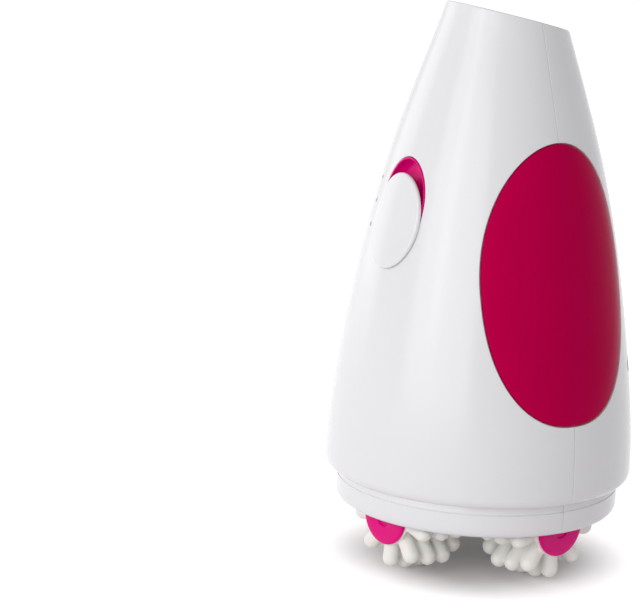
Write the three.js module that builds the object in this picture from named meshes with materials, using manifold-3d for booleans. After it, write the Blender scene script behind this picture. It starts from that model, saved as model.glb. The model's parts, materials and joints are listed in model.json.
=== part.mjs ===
// Anti-cellulite massager: a hand-held cone that stands on four kneading rollers.
// Sizes are in millimetres and angles in degrees. +Z is up and the front looks along -Y.
// The origin lies on the ground, on the axis of the body.

import * as THREE from 'three';
import { mergeVertices } from 'three/addons/utils/BufferGeometryUtils.js';
import Module from 'manifold-3d';

const wasm = await Module();
wasm.setup();

// Clearances and overruns
const gap = 0.3;
const overrun = 2;

// Facets round a full turn
const bodySides = 40;
const roundSides = 20;
const smallSides = 8;
const screwSides = 6;
const fingerSides = 5;
const rollerSides = 9;

// Body outline. Levels are measured up from the rim of the neck.
const bodyRadius = 63;
const bodyHeight = 201.7;
const topSlant = 13.9;
const wall = 3;
const neckInset = 4.9;
const neckRadius = bodyRadius - neckInset;
const neckWall = 4.5;
const neckBore = neckRadius - neckWall;
const neckCorner = 3.5;
const bevelLevel = 10;
const bevelDepth = 0.8;
const shoulderLevel = 13.3;
// The shoulder's ring, a seat for other heads, starts clear of the neck at a small groove
const seatClearance = 0.15;
const seatGroove = 0.6;
const shoulderLip = 1.2;
const shoulderRadius = neckRadius + shoulderLip;
const cornerHeight = 4;
const widestLevel = shoulderLevel + cornerHeight;
// The flank is drawn on past the slanted top, which cuts it off
const flankPast = 20;
const flankHeight = bodyHeight - widestLevel + flankPast;
const flankShares = [
  [0, 1], [0.14, 0.9754], [0.316, 0.892], [0.512, 0.7746], [0.7065, 0.603], [0.854, 0.443], [1, 0.306],
];
const flankSteps = 8;
const cornerSteps = 3;
const neckCornerSteps = 2;

// Inside of the shells
const floorThickness = 2.6;
const cornerWall = 3.4;
const cavityFoot = bodyRadius - cornerWall;
const ledgeOverlap = 3.1;
const ledgeThickness = 2.5;

// Shell screws, two low and two high, driven in from the rear
const screwRadius = 1.5;
const screwHeadRadius = 3;
const screwHeadHeight = 2;
const bossRadius = 5;
const shellScrewReach = 12;
const shellBoreReach = 15;
const lowScrewInset = 23;
const lowScrewX = bodyRadius - lowScrewInset;
const lowScrewLevel = 62;
const highScrewShare = 1 / 3;
const highScrewX = bodyRadius * highScrewShare;
const highScrewDrop = 35.7;
const highScrewLevel = bodyHeight - highScrewDrop;

// Grip pads: the level where they are widest, their foot, and how far below the top they end
const padLevel = 98;
const padFoot = 46;
const padTopDrop = 45.7;
const padHalfWidth = 35;
const padRise = bodyHeight - padTopDrop - padLevel;
const padDrop = padLevel - padFoot;
const padDropPower = 2.4;
const padThickness = 1.5;
const padSeam = 0.5;
const padSteps = 28;

// Top cap and power inlet
const topLip = 1.6;
const topCapThickness = 2.4;
const topCapInset = 0.4;
const jackRadius = 6.6;
const jackBore = 4.3;
const jackLength = 18;
const jackBoreDepth = 12;
const jackFlangeRadius = 9;
const jackFlangeThickness = 1.6;
const jackPinRadius = 1;
const jackPinHeight = 5;

// Switch: an oval cap slides along the front of the cone, over an oval dish
const dishDrop = 75.3;
const dishLevel = bodyHeight - dishDrop;
const dishHalfWidth = 13.9;
const dishHalfHeight = 20.75;
const dishRim = 0.8;
const dishDepth = 5.2;
const dishFlange = 1.5;
const dishFlangeThickness = 1.3;
const switchTravel = 11;
const switchStops = 3;
const switchCapHalfWidth = 14.3;
const switchCapHalfHeight = 19.4;
const switchCapProud = 1.6;
const switchCapClearance = 0.4;
const stemWidth = 4.6;
const stemTipWidth = 3;
const stemShoulderDepth = 10.2;
const stemTipDepth = 13.2;
const slideBodyWidth = 16;
const slideBodyMargin = 7;
const slideBodyFront = 10.5;
const slideBodyDepth = 7;
const sliderWidth = 6;
const sliderDepth = 4;
const sliderRecessDepth = 3;

// Circuit board and its posts, behind the switch
const boardWidth = 26;
const boardLength = 62;
const boardThickness = 1.6;
const boardPostRadius = 3.2;
const boardPostInset = 5;
const boardPostPlace = boardLength / 2 - boardPostInset;
const boardScrewRadius = 1.2;
const boardScrewHeadRadius = 2.4;
const boardScrewHeadHeight = 1.5;
const boardScrewReach = 7;
const postRootShare = 0.75;

// Roller bay, the bowl inside the neck that the rollers turn in
const bayClearance = 1;
const bayRadius = cavityFoot - bayClearance;
const ledgeBore = bayRadius - ledgeOverlap;
const bayWall = 2.2;
const bayRoofLevel = 29.2;
const bayRoofThickness = 2.5;
const bayPostRadius = 4;
const bayPostAzimuth = 45;
const bayPosts = 4;
const bayScrewReach = 9;
const bayBoreReach = 11;
const bearingBossRadius = 9;
const bearingBossHeight = 4.6;
const bearingRadius = 6.2;
const bearingFlangeRadius = 8;
const bearingFlangeThickness = 1;

// Gearbox cover, and the circle of the posts that carry it
const coverInset = 8.6;
const coverRadius = bayRadius - coverInset;
const coverThickness = 2.6;
const bayPostInset = 6;
const bayPostCircle = coverRadius - bayPostInset;

// Gear train: motor pinion, cluster gear, output gear. The modules follow the room under the cover.
const pressureAngle = 25;
const backlash = 0.3;
const toothFlankSteps = 1;
const meshTurn = 0.5;
const toothTipShare = 0.95;
const toothRootShare = 1.25;
const fineModuleShare = 0.02;
const fineModule = coverRadius * fineModuleShare;
const coarseModuleShare = 0.025;
const coarseModule = coverRadius * coarseModuleShare;
const pinionTeeth = 12;
const wheelTeeth = 36;
const outputGearThickness = 6;
const clusterWheelThickness = 4;
const gearStep = 0.8;
const clusterPinRadius = 2.5;
const clusterBossRadius = 5;
const clusterBossHeight = 5.6;
const clipRadius = 6.5;
const clipThickness = 1;

// Motor
const motorRadius = 18;
const motorLength = 50;
const motorWall = 1.2;
const motorNoseRadius = 5;
const motorNoseHeight = 1.8;
const motorShaftRadius = 1.6;
const motorCapThickness = 3;
const motorScrewCircle = 11;
const armatureRadius = 11;
const armatureLength = 26;
const armatureFoot = 8;
const commutatorRadius = 4.5;
const commutatorLength = 8;
const magnetInner = 12;
const magnetSpread = 64;
const magnetSteps = 4;

// Roller head: carrier, output shaft and axles
const headTurn = 6.3;
const carrierClearance = 1;
const carrierRadius = neckBore - carrierClearance;
const carrierThickness = 2.4;
const carrierLevel = 25.6;
const hubHalfWidth = 13.5;
const hubDrop = 8;
const hubCollarRadius = 5;
const hubCollarLength = 1.2;
const outputShaftRadius = 4;
const outputShaftFoot = 8;
const shaftScrewReach = 10;
const axleRadius = 2.5;
const axleSeat = 4.5;
const axleScrewReach = 11;
const rollerCount = 4;

// Kneading rollers. Places along a roller are distances out from the axis of the body.
const rollerInner = 15;
const rollerClearance = 4.4;
const rollerOuter = neckBore - rollerClearance;
const rollerHubRadius = 9.6;
const rollerRimRadius = 12.1;
const rollerRimThickness = 1;
const rollerCapRadius = 11.7;
const rollerCapThickness = 1.4;
const rollerCapCrown = 0.5;
const rollerDimpleRadius = 4;
const rollerDimpleDepth = 0.6;
const axleScrewHeadRadius = 3.7;
const rollerWellRadius = 5.2;
const rollerWellDepth = 4;
const fingerRadius = 3.5;
const fingerRootRadius = 3;
const fingersPerRing = 9;
const tipRadius = 24.5;
const fingerRootShare = 0.6;
// Each ring: place of the tips and of the roots along the roller, and reach of the tips
const ringShares = [
  [0.89, 0.87, 0.9],
  [0.66, 0.67, 0.98],
  [0.44, 0.46, 1],
  [0.22, 0.24, 0.85],
];

// Wires, as flat pairs
const wireRadius = 1.2;
const wireSides = 8;
const wireSteps = 12;
const wireLead = 7;
const wireHighShare = 0.62;
const wireLowShare = 0.5;
const terminalShare = 0.5;

// Levels that follow from the sizes above
const radians = THREE.MathUtils.degToRad;
const fingerPitch = radians(360 / fingersPerRing);
const floorLevel = shoulderLevel + floorThickness;
const bayRoofTop = bayRoofLevel + bayRoofThickness;
const bearingFoot = bayRoofLevel + gap;
const bearingTop = bayRoofTop + bearingBossHeight + gap + bearingFlangeThickness;
const outputGearLevel = bearingTop + gearStep;
const outputGearTop = outputGearLevel + outputGearThickness;
const clusterWheelLevel = outputGearTop + clipThickness + gap + gearStep;
const clusterWheelTop = clusterWheelLevel + clusterWheelThickness;
const outputShaftTop = outputGearTop + clipThickness + gap;
const coverLevel = clusterWheelTop + motorNoseHeight;
const coverTop = coverLevel + coverThickness;
const motorLevel = coverTop + gap;
const motorTop = motorLevel + motorLength;
const slideBodyBack = slideBodyFront + slideBodyDepth;
const boardLevel = slideBodyBack + gap;
const axleEnd = rollerOuter - rollerWellDepth;
const fineWheelRadius = fineModule * wheelTeeth / 2;
const finePinionRadius = fineModule * pinionTeeth / 2;
const coarseWheelRadius = coarseModule * wheelTeeth / 2;
const coarsePinionRadius = coarseModule * pinionTeeth / 2;
const clusterPlace = coarseWheelRadius + coarsePinionRadius;
const motorPlace = clusterPlace - fineWheelRadius - finePinionRadius;

// Colours and finishes
const finish = (color, roughness, metalness) => (
  new THREE.MeshStandardMaterial({ color, roughness, metalness }));
const white = finish(0xe9e9eb, 0.18, 0);
const magenta = finish(0xb3004c, 0.28, 0);
const ivory = finish(0xefeee6, 0.45, 0);
const steel = finish(0xb9bcc0, 0.3, 1);
const darkSteel = finish(0x54575c, 0.4, 1);
const brass = finish(0xb5924c, 0.35, 1);
const nylon = finish(0xdcd8c8, 0.5, 0);
const blackPlastic = finish(0x1c1c1e, 0.5, 0);
const boardGreen = finish(0x1f5b35, 0.5, 0);
const copper = finish(0xa8623a, 0.4, 1);
const ferrite = finish(0x2c2c30, 0.7, 0);
const wireRed = finish(0x9c2320, 0.5, 0);

// Solids and cuts
function solid(geometry, matrix = new THREE.Matrix4()) {
  const bare = geometry.clone().applyMatrix4(matrix);
  bare.deleteAttribute('normal');
  bare.deleteAttribute('uv');
  const merged = mergeVertices(bare);
  return new wasm.Manifold(new wasm.Mesh({
    numProp: 3,
    vertProperties: merged.attributes.position.array,
    triVerts: new Uint32Array(merged.index.array),
  }));
}

function geometryOf(shape) {
  const mesh = shape.getMesh();
  const geometry = new THREE.BufferGeometry();
  geometry.setAttribute('position', new THREE.BufferAttribute(mesh.vertProperties, mesh.numProp));
  geometry.setIndex(new THREE.BufferAttribute(mesh.triVerts, 1));
  geometry.computeVertexNormals();
  return geometry;
}

function move(x, y, z) {
  return new THREE.Matrix4().makeTranslation(x, y, z);
}

// A profile of [radius, level] pairs turned about the Z axis
function turnedGeometry(profile, sides = roundSides) {
  const points = profile.map(([radius, level]) => new THREE.Vector2(radius, level));
  return new THREE.LatheGeometry(points, sides).rotateX(Math.PI / 2);
}

function turned(profile, sides = roundSides, matrix = undefined) {
  return solid(turnedGeometry(profile, sides), matrix);
}

function rod(radius, low, high, sides = smallSides, matrix = undefined) {
  return turned([[0, low], [radius, low], [radius, high], [0, high]], sides, matrix);
}

function block(width, depth, low, high, matrix = new THREE.Matrix4()) {
  const geometry = new THREE.BoxGeometry(width, depth, high - low).translate(0, 0, (low + high) / 2);
  return solid(geometry, matrix);
}

function prism(outline, low, high, matrix = new THREE.Matrix4(), holes = []) {
  const shape = new THREE.Shape(outline);
  shape.holes = holes.map((hole) => new THREE.Path(hole));
  const options = { depth: high - low, bevelEnabled: false, steps: 1 };
  const geometry = new THREE.ExtrudeGeometry(shape, options).translate(0, 0, low);
  return solid(geometry, matrix);
}

// An upright prism over an oval
function ovalRod(halfWidth, halfHeight, low, high, matrix = undefined) {
  const outline = Array.from({ length: roundSides }, (_, index) => {
    const angle = 2 * Math.PI * index / roundSides;
    return new THREE.Vector2(halfWidth * Math.cos(angle), halfHeight * Math.sin(angle));
  });
  return prism(outline, low, high, matrix);
}

// Scene graph
const model = new THREE.Group();
const body = new THREE.Group();
model.add(body);

function addPiece(group, name, shape, material) {
  const mesh = new THREE.Mesh(shape.isBufferGeometry ? shape : geometryOf(shape), material);
  mesh.name = name;
  group.add(mesh);
  return mesh;
}

// Flank of the body, as a smooth curve through hand-picked shares
const flankCurve = new THREE.SplineCurve(flankShares.map(([heightShare, radiusShare]) => (
  new THREE.Vector2(radiusShare * bodyRadius, widestLevel + heightShare * flankHeight))));
const flankPoints = flankCurve.getPoints(flankSteps);

function flankAt(inset) {
  return flankPoints.map((point, index) => {
    const tangent = flankCurve.getTangent(index / flankSteps);
    return [point.x - inset * tangent.y, point.y + inset * tangent.x];
  });
}

function radiusAt(level) {
  const upper = flankPoints.findIndex((point) => point.y >= level);
  const above = flankPoints[upper];
  const below = flankPoints[upper - 1];
  return THREE.MathUtils.mapLinear(level, below.y, above.y, below.x, above.x);
}

// A closed solid whose flank lies inset below the outer face. It is used for cuts and fits.
function coneSolid(inset, matrix = undefined) {
  const flank = flankAt(inset);
  const foot = [flank[0][0], -overrun];
  return turned([[0, -overrun], foot, ...flank, [0, flank.at(-1)[1]]], bodySides, matrix);
}

function outerBody() {
  const arc = (steps) => Array.from({ length: steps + 1 }, (_, step) => Math.PI / 2 * step / steps);
  const neckCornerPoints = arc(neckCornerSteps).map((angle) => [
    neckRadius - neckCorner + neckCorner * Math.sin(angle),
    neckCorner - neckCorner * Math.cos(angle),
  ]);
  const shoulderPoints = arc(cornerSteps).map((angle) => [
    shoulderRadius + (bodyRadius - shoulderRadius) * Math.sin(angle),
    widestLevel - cornerHeight * Math.cos(angle),
  ]);
  const flank = flankAt(0);
  return turned([
    [0, 0],
    ...neckCornerPoints,
    [neckRadius, bevelLevel],
    [neckRadius - bevelDepth, shoulderLevel + seatGroove],
    [neckRadius + seatClearance, shoulderLevel],
    ...shoulderPoints,
    ...flank.slice(1),
    [0, flank.at(-1)[1]],
  ], bodySides);
}

function cavity() {
  const flank = flankAt(wall);
  return turned([
    [0, -overrun],
    [neckBore, -overrun],
    [neckBore, floorLevel],
    [cavityFoot, floorLevel],
    ...flank,
    [0, flank.at(-1)[1]],
  ], bodySides);
}

// Slanted frame of the top: +Z looks out of the slanted face
const topFrame = new THREE.Matrix4().makeRotationX(-radians(topSlant)).setPosition(0, 0, bodyHeight);

function topSlab(low, high) {
  return block(2 * bodyRadius, 2 * bodyRadius, low, high, topFrame);
}

// Switch frame on the front: +Z looks out of the flank and +Y runs up along it
const radiusBelowDish = radiusAt(dishLevel - dishHalfHeight);
const radiusAboveDish = radiusAt(dishLevel + dishHalfHeight);
const dishSlope = Math.atan((radiusBelowDish - radiusAboveDish) / (2 * dishHalfHeight));
const switchFrame = new THREE.Matrix4().makeRotationX(Math.PI / 2 - dishSlope)
  .setPosition(0, -radiusAt(dishLevel), dishLevel);
const intoSwitch = switchFrame.clone().invert();
const innerRadius = radiusAt(dishLevel) - wall;
const flangeHalfWidth = dishHalfWidth - gap + dishFlange;
const flangeHalfHeight = dishHalfHeight - gap + dishFlange;
const dishFlangeDepth = wall + innerRadius - Math.sqrt(innerRadius ** 2 - flangeHalfWidth ** 2) + gap;
const dishFoot = -dishFlangeDepth - dishFlangeThickness;
const restPlace = -switchTravel / 2;

// Grip pad outline in a plane across the X axis, as [along Y, level]
function padOutline(margin) {
  return Array.from({ length: padSteps }, (_, step) => {
    const angle = 2 * Math.PI * step / padSteps;
    const across = Math.cos(angle);
    const up = Math.sin(angle);
    const power = up >= 0 ? 1 : 2 / padDropPower;
    const height = (up >= 0 ? padRise : padDrop) + margin;
    return new THREE.Vector2(
      (padHalfWidth + margin) * Math.sign(across) * Math.abs(across) ** power,
      padLevel + height * Math.sign(up) * Math.abs(up) ** power,
    );
  });
}

// The outline's plane is turned so that its normal looks along side * X
function padPrism(margin, side) {
  const alongX = new THREE.Matrix4().makeBasis(
    new THREE.Vector3(0, side, 0), new THREE.Vector3(0, 0, 1), new THREE.Vector3(side, 0, 0));
  return prism(padOutline(margin), 0, bodyRadius + overrun, alongX);
}

const sides = [['left', -1], ['right', 1]];

function addGripPads() {
  const skin = coneSolid(0).subtract(coneSolid(padThickness));
  for (const [name, side] of sides) {
    addPiece(body, `grip_pad_${name}`, skin.intersect(padPrism(0, side)), magenta);
  }
}

// Shells: the body is hollowed, split at the seam and given its bosses, posts and ledge
const shellScrews = [
  [-lowScrewX, lowScrewLevel], [lowScrewX, lowScrewLevel],
  [-highScrewX, highScrewLevel], [highScrewX, highScrewLevel],
];

// A rod along +Y, from one place to another
function rodAlongY(radius, x, level, from, to) {
  const frame = new THREE.Matrix4().makeRotationX(-Math.PI / 2).setPosition(x, 0, level);
  return rod(radius, from, to, smallSides, frame);
}

// A box across the whole body that spans from one Y to another
function boxAlongY(from, to) {
  const high = widestLevel + flankHeight + overrun;
  return block(2 * (bodyRadius + overrun), to - from, -overrun, high, move(0, (from + to) / 2, 0));
}

function hollowBody(outer) {
  const ledgeLow = bayRoofTop + gap;
  const ledge = turned([
    [ledgeBore, ledgeLow],
    [bodyRadius - wall / 2, ledgeLow],
    [bodyRadius - wall / 2, ledgeLow + ledgeThickness],
    [ledgeBore, ledgeLow + ledgeThickness],
    [ledgeBore, ledgeLow],
  ], bodySides).intersect(coneSolid(wall / 2));
  let shell = outer.subtract(cavity()).add(ledge);
  shell = shell.subtract(topSlab(0, bodyHeight));
  shell = shell.subtract(coneSolid(topLip).intersect(topSlab(-topCapInset - topCapThickness - gap, overrun)));
  const recess = coneSolid(-overrun).subtract(coneSolid(padThickness + gap));
  for (const [, side] of sides) shell = shell.subtract(recess.intersect(padPrism(padSeam, side)));
  return shell;
}

function addShells() {
  const outer = outerBody();
  const hollow = hollowBody(outer);
  const reach = bodyRadius + overrun;
  let front = hollow.intersect(boxAlongY(-reach, -gap / 2));
  let rear = hollow.intersect(boxAlongY(gap / 2, reach));

  for (const [x, level] of shellScrews) {
    const frontBoss = rodAlongY(bossRadius, x, level, -reach, -gap / 2).intersect(outer);
    const rearBoss = rodAlongY(bossRadius, x, level, gap / 2, reach).intersect(outer);
    front = front.add(frontBoss.subtract(rodAlongY(screwRadius + gap, x, level, -shellBoreReach, 0)));
    rear = rear.add(rearBoss);
    rear = rear.subtract(rodAlongY(screwRadius + gap, x, level, 0, reach));
    rear = rear.subtract(rodAlongY(screwHeadRadius + gap, x, level, shellScrewReach - gap, reach));
  }

  front = front.subtract(ovalRod(dishHalfWidth, dishHalfHeight, -dishFlangeDepth, overrun, switchFrame));
  for (const place of [-boardPostPlace, boardPostPlace]) {
    const frame = switchFrame.clone().multiply(move(0, place, 0));
    const boreTop = -boardLevel + boardScrewReach;
    front = front.add(rod(boardPostRadius, -boardLevel + gap, -wall * postRootShare, smallSides, frame));
    front = front.subtract(rod(boardScrewRadius + gap, -boardLevel, boreTop, smallSides, frame));
  }

  addPiece(body, 'front_shell', front, white);
  addPiece(body, 'rear_shell', rear, white);
}

// A screw whose head sits at the top: the shank hangs below level 0
function screwShape(shankRadius, reach, headRadius, headHeight) {
  return turnedGeometry([
    [0, -reach], [shankRadius, -reach], [shankRadius, 0], [headRadius, 0],
    [headRadius, headHeight], [0, headHeight],
  ], screwSides);
}

function addShellScrews() {
  const shape = screwShape(screwRadius, 2 * shellScrewReach, screwHeadRadius, screwHeadHeight);
  shellScrews.forEach(([x, level], index) => {
    const screw = addPiece(body, `shell_screw_${index + 1}`, shape, darkSteel);
    screw.position.set(x, shellScrewReach, level);
    screw.rotation.x = -Math.PI / 2;
  });
}

// Top cap and power inlet
function addTop() {
  const capLow = -topCapInset - topCapThickness;
  const capHole = rod(jackRadius + gap, capLow - overrun, overrun, roundSides, topFrame);
  const cap = coneSolid(topLip + gap).intersect(topSlab(capLow, -topCapInset)).subtract(capHole);
  addPiece(body, 'top_cap', cap, white);

  const jackTop = -topCapInset;
  const flangeTop = capLow - gap;
  const jack = turned([
    [0, jackTop - jackLength],
    [jackRadius, jackTop - jackLength],
    [jackRadius, flangeTop - jackFlangeThickness],
    [jackFlangeRadius, flangeTop - jackFlangeThickness],
    [jackFlangeRadius, flangeTop],
    [jackRadius, flangeTop],
    [jackRadius, jackTop],
    [jackBore, jackTop],
    [jackBore, jackTop - jackBoreDepth],
    [jackPinRadius, jackTop - jackBoreDepth],
    [jackPinRadius, jackTop - jackBoreDepth + jackPinHeight],
    [0, jackTop - jackBoreDepth + jackPinHeight],
  ], roundSides, topFrame);
  addPiece(body, 'power_jack', jack, blackPlastic);
}

// Switch pieces, in the switch frame
function switchGroup() {
  const group = new THREE.Group();
  group.applyMatrix4(switchFrame);
  body.add(group);
  return group;
}

function addSwitchDish(group) {
  const outside = [dishHalfWidth - gap, dishHalfHeight - gap];
  const inside = outside.map((half) => half - dishRim);
  const slotLength = switchTravel + stemWidth + 2 * gap;
  const dish = ovalRod(...outside, dishFoot, overrun)
    .subtract(ovalRod(...inside, -dishDepth, 2 * overrun))
    .intersect(coneSolid(0, intoSwitch))
    .add(ovalRod(flangeHalfWidth, flangeHalfHeight, dishFoot, -dishFlangeDepth))
    .subtract(block(stemWidth + 2 * gap, slotLength, dishFoot - overrun, 0));
  addPiece(group, 'switch_dish', dish, magenta);
}

function addSwitchCap(group) {
  const place = move(0, restPlace, 0);
  let cap = ovalRod(switchCapHalfWidth, switchCapHalfHeight, -stemShoulderDepth, overrun, place)
    .intersect(coneSolid(-switchCapProud, intoSwitch));
  for (let stop = 0; stop < switchStops; stop += 1) {
    const shift = move(0, -switchTravel * stop / (switchStops - 1), 0);
    cap = cap.subtract(coneSolid(-switchCapClearance, shift.multiply(intoSwitch)));
  }
  const stemTop = (switchCapProud + switchCapClearance) / 2;
  cap = cap.add(block(stemWidth, stemWidth, -stemShoulderDepth, stemTop, place));
  cap = cap.add(block(stemTipWidth, stemTipWidth, -stemTipDepth, -dishDepth, place));
  addPiece(group, 'switch_cap', cap, white);

  const sliderFront = -slideBodyFront - gap;
  const slider = block(sliderWidth, sliderWidth, sliderFront - sliderDepth, sliderFront, place);
  const recessWidth = stemTipWidth + 2 * gap;
  const recess = block(recessWidth, recessWidth, sliderFront - sliderRecessDepth, 0, place);
  addPiece(group, 'switch_slider', slider.subtract(recess), blackPlastic);
}

function addSlideSwitch(group) {
  const slotLength = switchTravel + sliderWidth + 2 * gap;
  const slotDepth = sliderDepth + 2 * gap;
  const housing = block(slideBodyWidth, slotLength + slideBodyMargin, -slideBodyBack, -slideBodyFront);
  const slot = block(sliderWidth + 2 * gap, slotLength, -slideBodyFront - slotDepth, 0);
  addPiece(group, 'slide_switch', housing.subtract(slot), blackPlastic);
}

function addBoard(group) {
  const boardBack = -boardLevel - boardThickness;
  let board = block(boardWidth, boardLength, boardBack, -boardLevel);
  const shape = screwShape(boardScrewRadius, boardScrewReach, boardScrewHeadRadius, boardScrewHeadHeight);
  [-boardPostPlace, boardPostPlace].forEach((place, index) => {
    const frame = move(0, place, 0);
    board = board.subtract(rod(boardScrewRadius + gap, boardBack - overrun, 0, smallSides, frame));
    const screw = addPiece(group, `board_screw_${index + 1}`, shape, darkSteel);
    screw.position.set(0, place, boardBack - gap);
    screw.rotation.x = Math.PI;
  });
  addPiece(group, 'circuit_board', board, boardGreen);
}

// Roller bay and output bearing
const bayPostTop = coverLevel - gap;
const bayPostPlaces = Array.from({ length: bayPosts }, (_, index) => {
  const azimuth = radians(bayPostAzimuth + 360 * index / bayPosts);
  return [bayPostCircle * Math.cos(azimuth), bayPostCircle * Math.sin(azimuth)];
});

function addBay() {
  const skirtFoot = floorLevel + gap;
  let bay = turned([
    [0, bayRoofLevel],
    [bayRadius - bayWall, bayRoofLevel],
    [bayRadius - bayWall, skirtFoot],
    [bayRadius, skirtFoot],
    [bayRadius, bayRoofTop],
    [bearingBossRadius, bayRoofTop],
    [bearingBossRadius, bayRoofTop + bearingBossHeight],
    [0, bayRoofTop + bearingBossHeight],
  ], bodySides);
  const atCluster = move(0, clusterPlace, 0);
  const bossTop = bayRoofTop + clusterBossHeight;
  bay = bay.add(rod(clusterBossRadius, bayRoofLevel, bossTop, smallSides, atCluster));
  bay = bay.subtract(rod(clusterPinRadius + gap, bayRoofTop, bossTop + overrun, smallSides, atCluster));
  for (const [x, y] of bayPostPlaces) {
    const atPost = move(x, y, 0);
    const boreFoot = bayPostTop - bayBoreReach;
    bay = bay.add(rod(bayPostRadius, bayRoofLevel, bayPostTop, smallSides, atPost));
    bay = bay.subtract(rod(screwRadius + gap, boreFoot, bayPostTop + overrun, smallSides, atPost));
  }
  bay = bay.subtract(rod(bearingRadius + gap, 0, bearingTop, roundSides));
  addPiece(body, 'roller_bay', bay, white);

  const bore = outputShaftRadius + gap;
  const flangeFoot = bearingTop - bearingFlangeThickness;
  const bearing = turnedGeometry([
    [bore, bearingFoot], [bearingRadius, bearingFoot], [bearingRadius, flangeFoot],
    [bearingFlangeRadius, flangeFoot], [bearingFlangeRadius, bearingTop], [bore, bearingTop],
    [bore, bearingFoot],
  ]);
  addPiece(body, 'output_bearing', bearing, brass);
}

// Gear outline with involute flanks. Its first tooth is centred on angle 0 before the turn,
// which is given in teeth.
function gearOutline(toothCount, module, turn) {
  const pitchRadius = module * toothCount / 2;
  const baseRadius = pitchRadius * Math.cos(radians(pressureAngle));
  const tip = pitchRadius + toothTipShare * module;
  const root = pitchRadius - toothRootShare * module;
  const involute = (angle) => Math.tan(angle) - angle;
  const toothWidth = (Math.PI * module - backlash) / 2;
  const halfTooth = toothWidth / (2 * pitchRadius) + involute(radians(pressureAngle));
  const halfAngleAt = (radius) => (
    radius <= baseRadius ? halfTooth : halfTooth - involute(Math.acos(baseRadius / radius)));
  const start = Math.max(root, baseRadius);
  const flank = [root];
  if (start > root) flank.push(start);
  for (let step = 1; step <= toothFlankSteps; step += 1) {
    flank.push(start + (tip - start) * step / toothFlankSteps);
  }
  const outline = [];
  for (let tooth = 0; tooth < toothCount; tooth += 1) {
    const centre = 2 * Math.PI * (tooth + turn) / toothCount;
    const at = (radius, angle) => new THREE.Vector2(radius * Math.cos(angle), radius * Math.sin(angle));
    for (const radius of flank) outline.push(at(radius, centre - halfAngleAt(radius)));
    for (const radius of flank.toReversed()) outline.push(at(radius, centre + halfAngleAt(radius)));
  }
  return outline;
}

function gear(toothCount, module, turn, low, high, bore) {
  const outline = gearOutline(toothCount, module, turn);
  return prism(outline, low, high).subtract(rod(bore, low - overrun, high + overrun));
}

// Cluster gear on its fixed pin, and the cover above it
function addGearbox() {
  const cluster = new THREE.Group();
  cluster.position.y = clusterPlace;
  body.add(cluster);
  const bore = clusterPinRadius + gap;
  const clusterFoot = bayRoofTop + clusterBossHeight + gap;
  const wheel = gear(wheelTeeth, fineModule, 0, clusterWheelLevel, clusterWheelTop, bore);
  const pinion = gear(pinionTeeth, coarseModule, meshTurn, clusterFoot, clusterWheelTop, bore);
  addPiece(cluster, 'cluster_gear', wheel.add(pinion), nylon);
  addPiece(cluster, 'cluster_pin', rod(clusterPinRadius, bayRoofTop + gap, coverTop), steel);

  const hole = (radius, x, y, facets = smallSides) => (
    rod(radius + gap, coverLevel - overrun, coverTop + overrun, facets, move(x, y, 0)));
  const screwHoles = [
    ...bayPostPlaces.map(([x, y]) => hole(screwRadius, x, y)),
    ...sides.map(([, side]) => hole(screwRadius, side * motorScrewCircle, motorPlace)),
  ];
  let cover = rod(coverRadius, coverLevel, coverTop, bodySides)
    .subtract(hole(clusterPinRadius, 0, clusterPlace))
    .subtract(hole(motorNoseRadius, 0, motorPlace, roundSides));
  for (const screwHole of screwHoles) cover = cover.subtract(screwHole);
  addPiece(body, 'gearbox_cover', cover, white);

  const screwPiece = screwShape(screwRadius, bayScrewReach, screwHeadRadius, screwHeadHeight);
  bayPostPlaces.forEach(([x, y], index) => {
    const screw = addPiece(body, `cover_screw_${index + 1}`, screwPiece, darkSteel);
    screw.position.set(x, y, coverTop + gap);
  });
}

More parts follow.
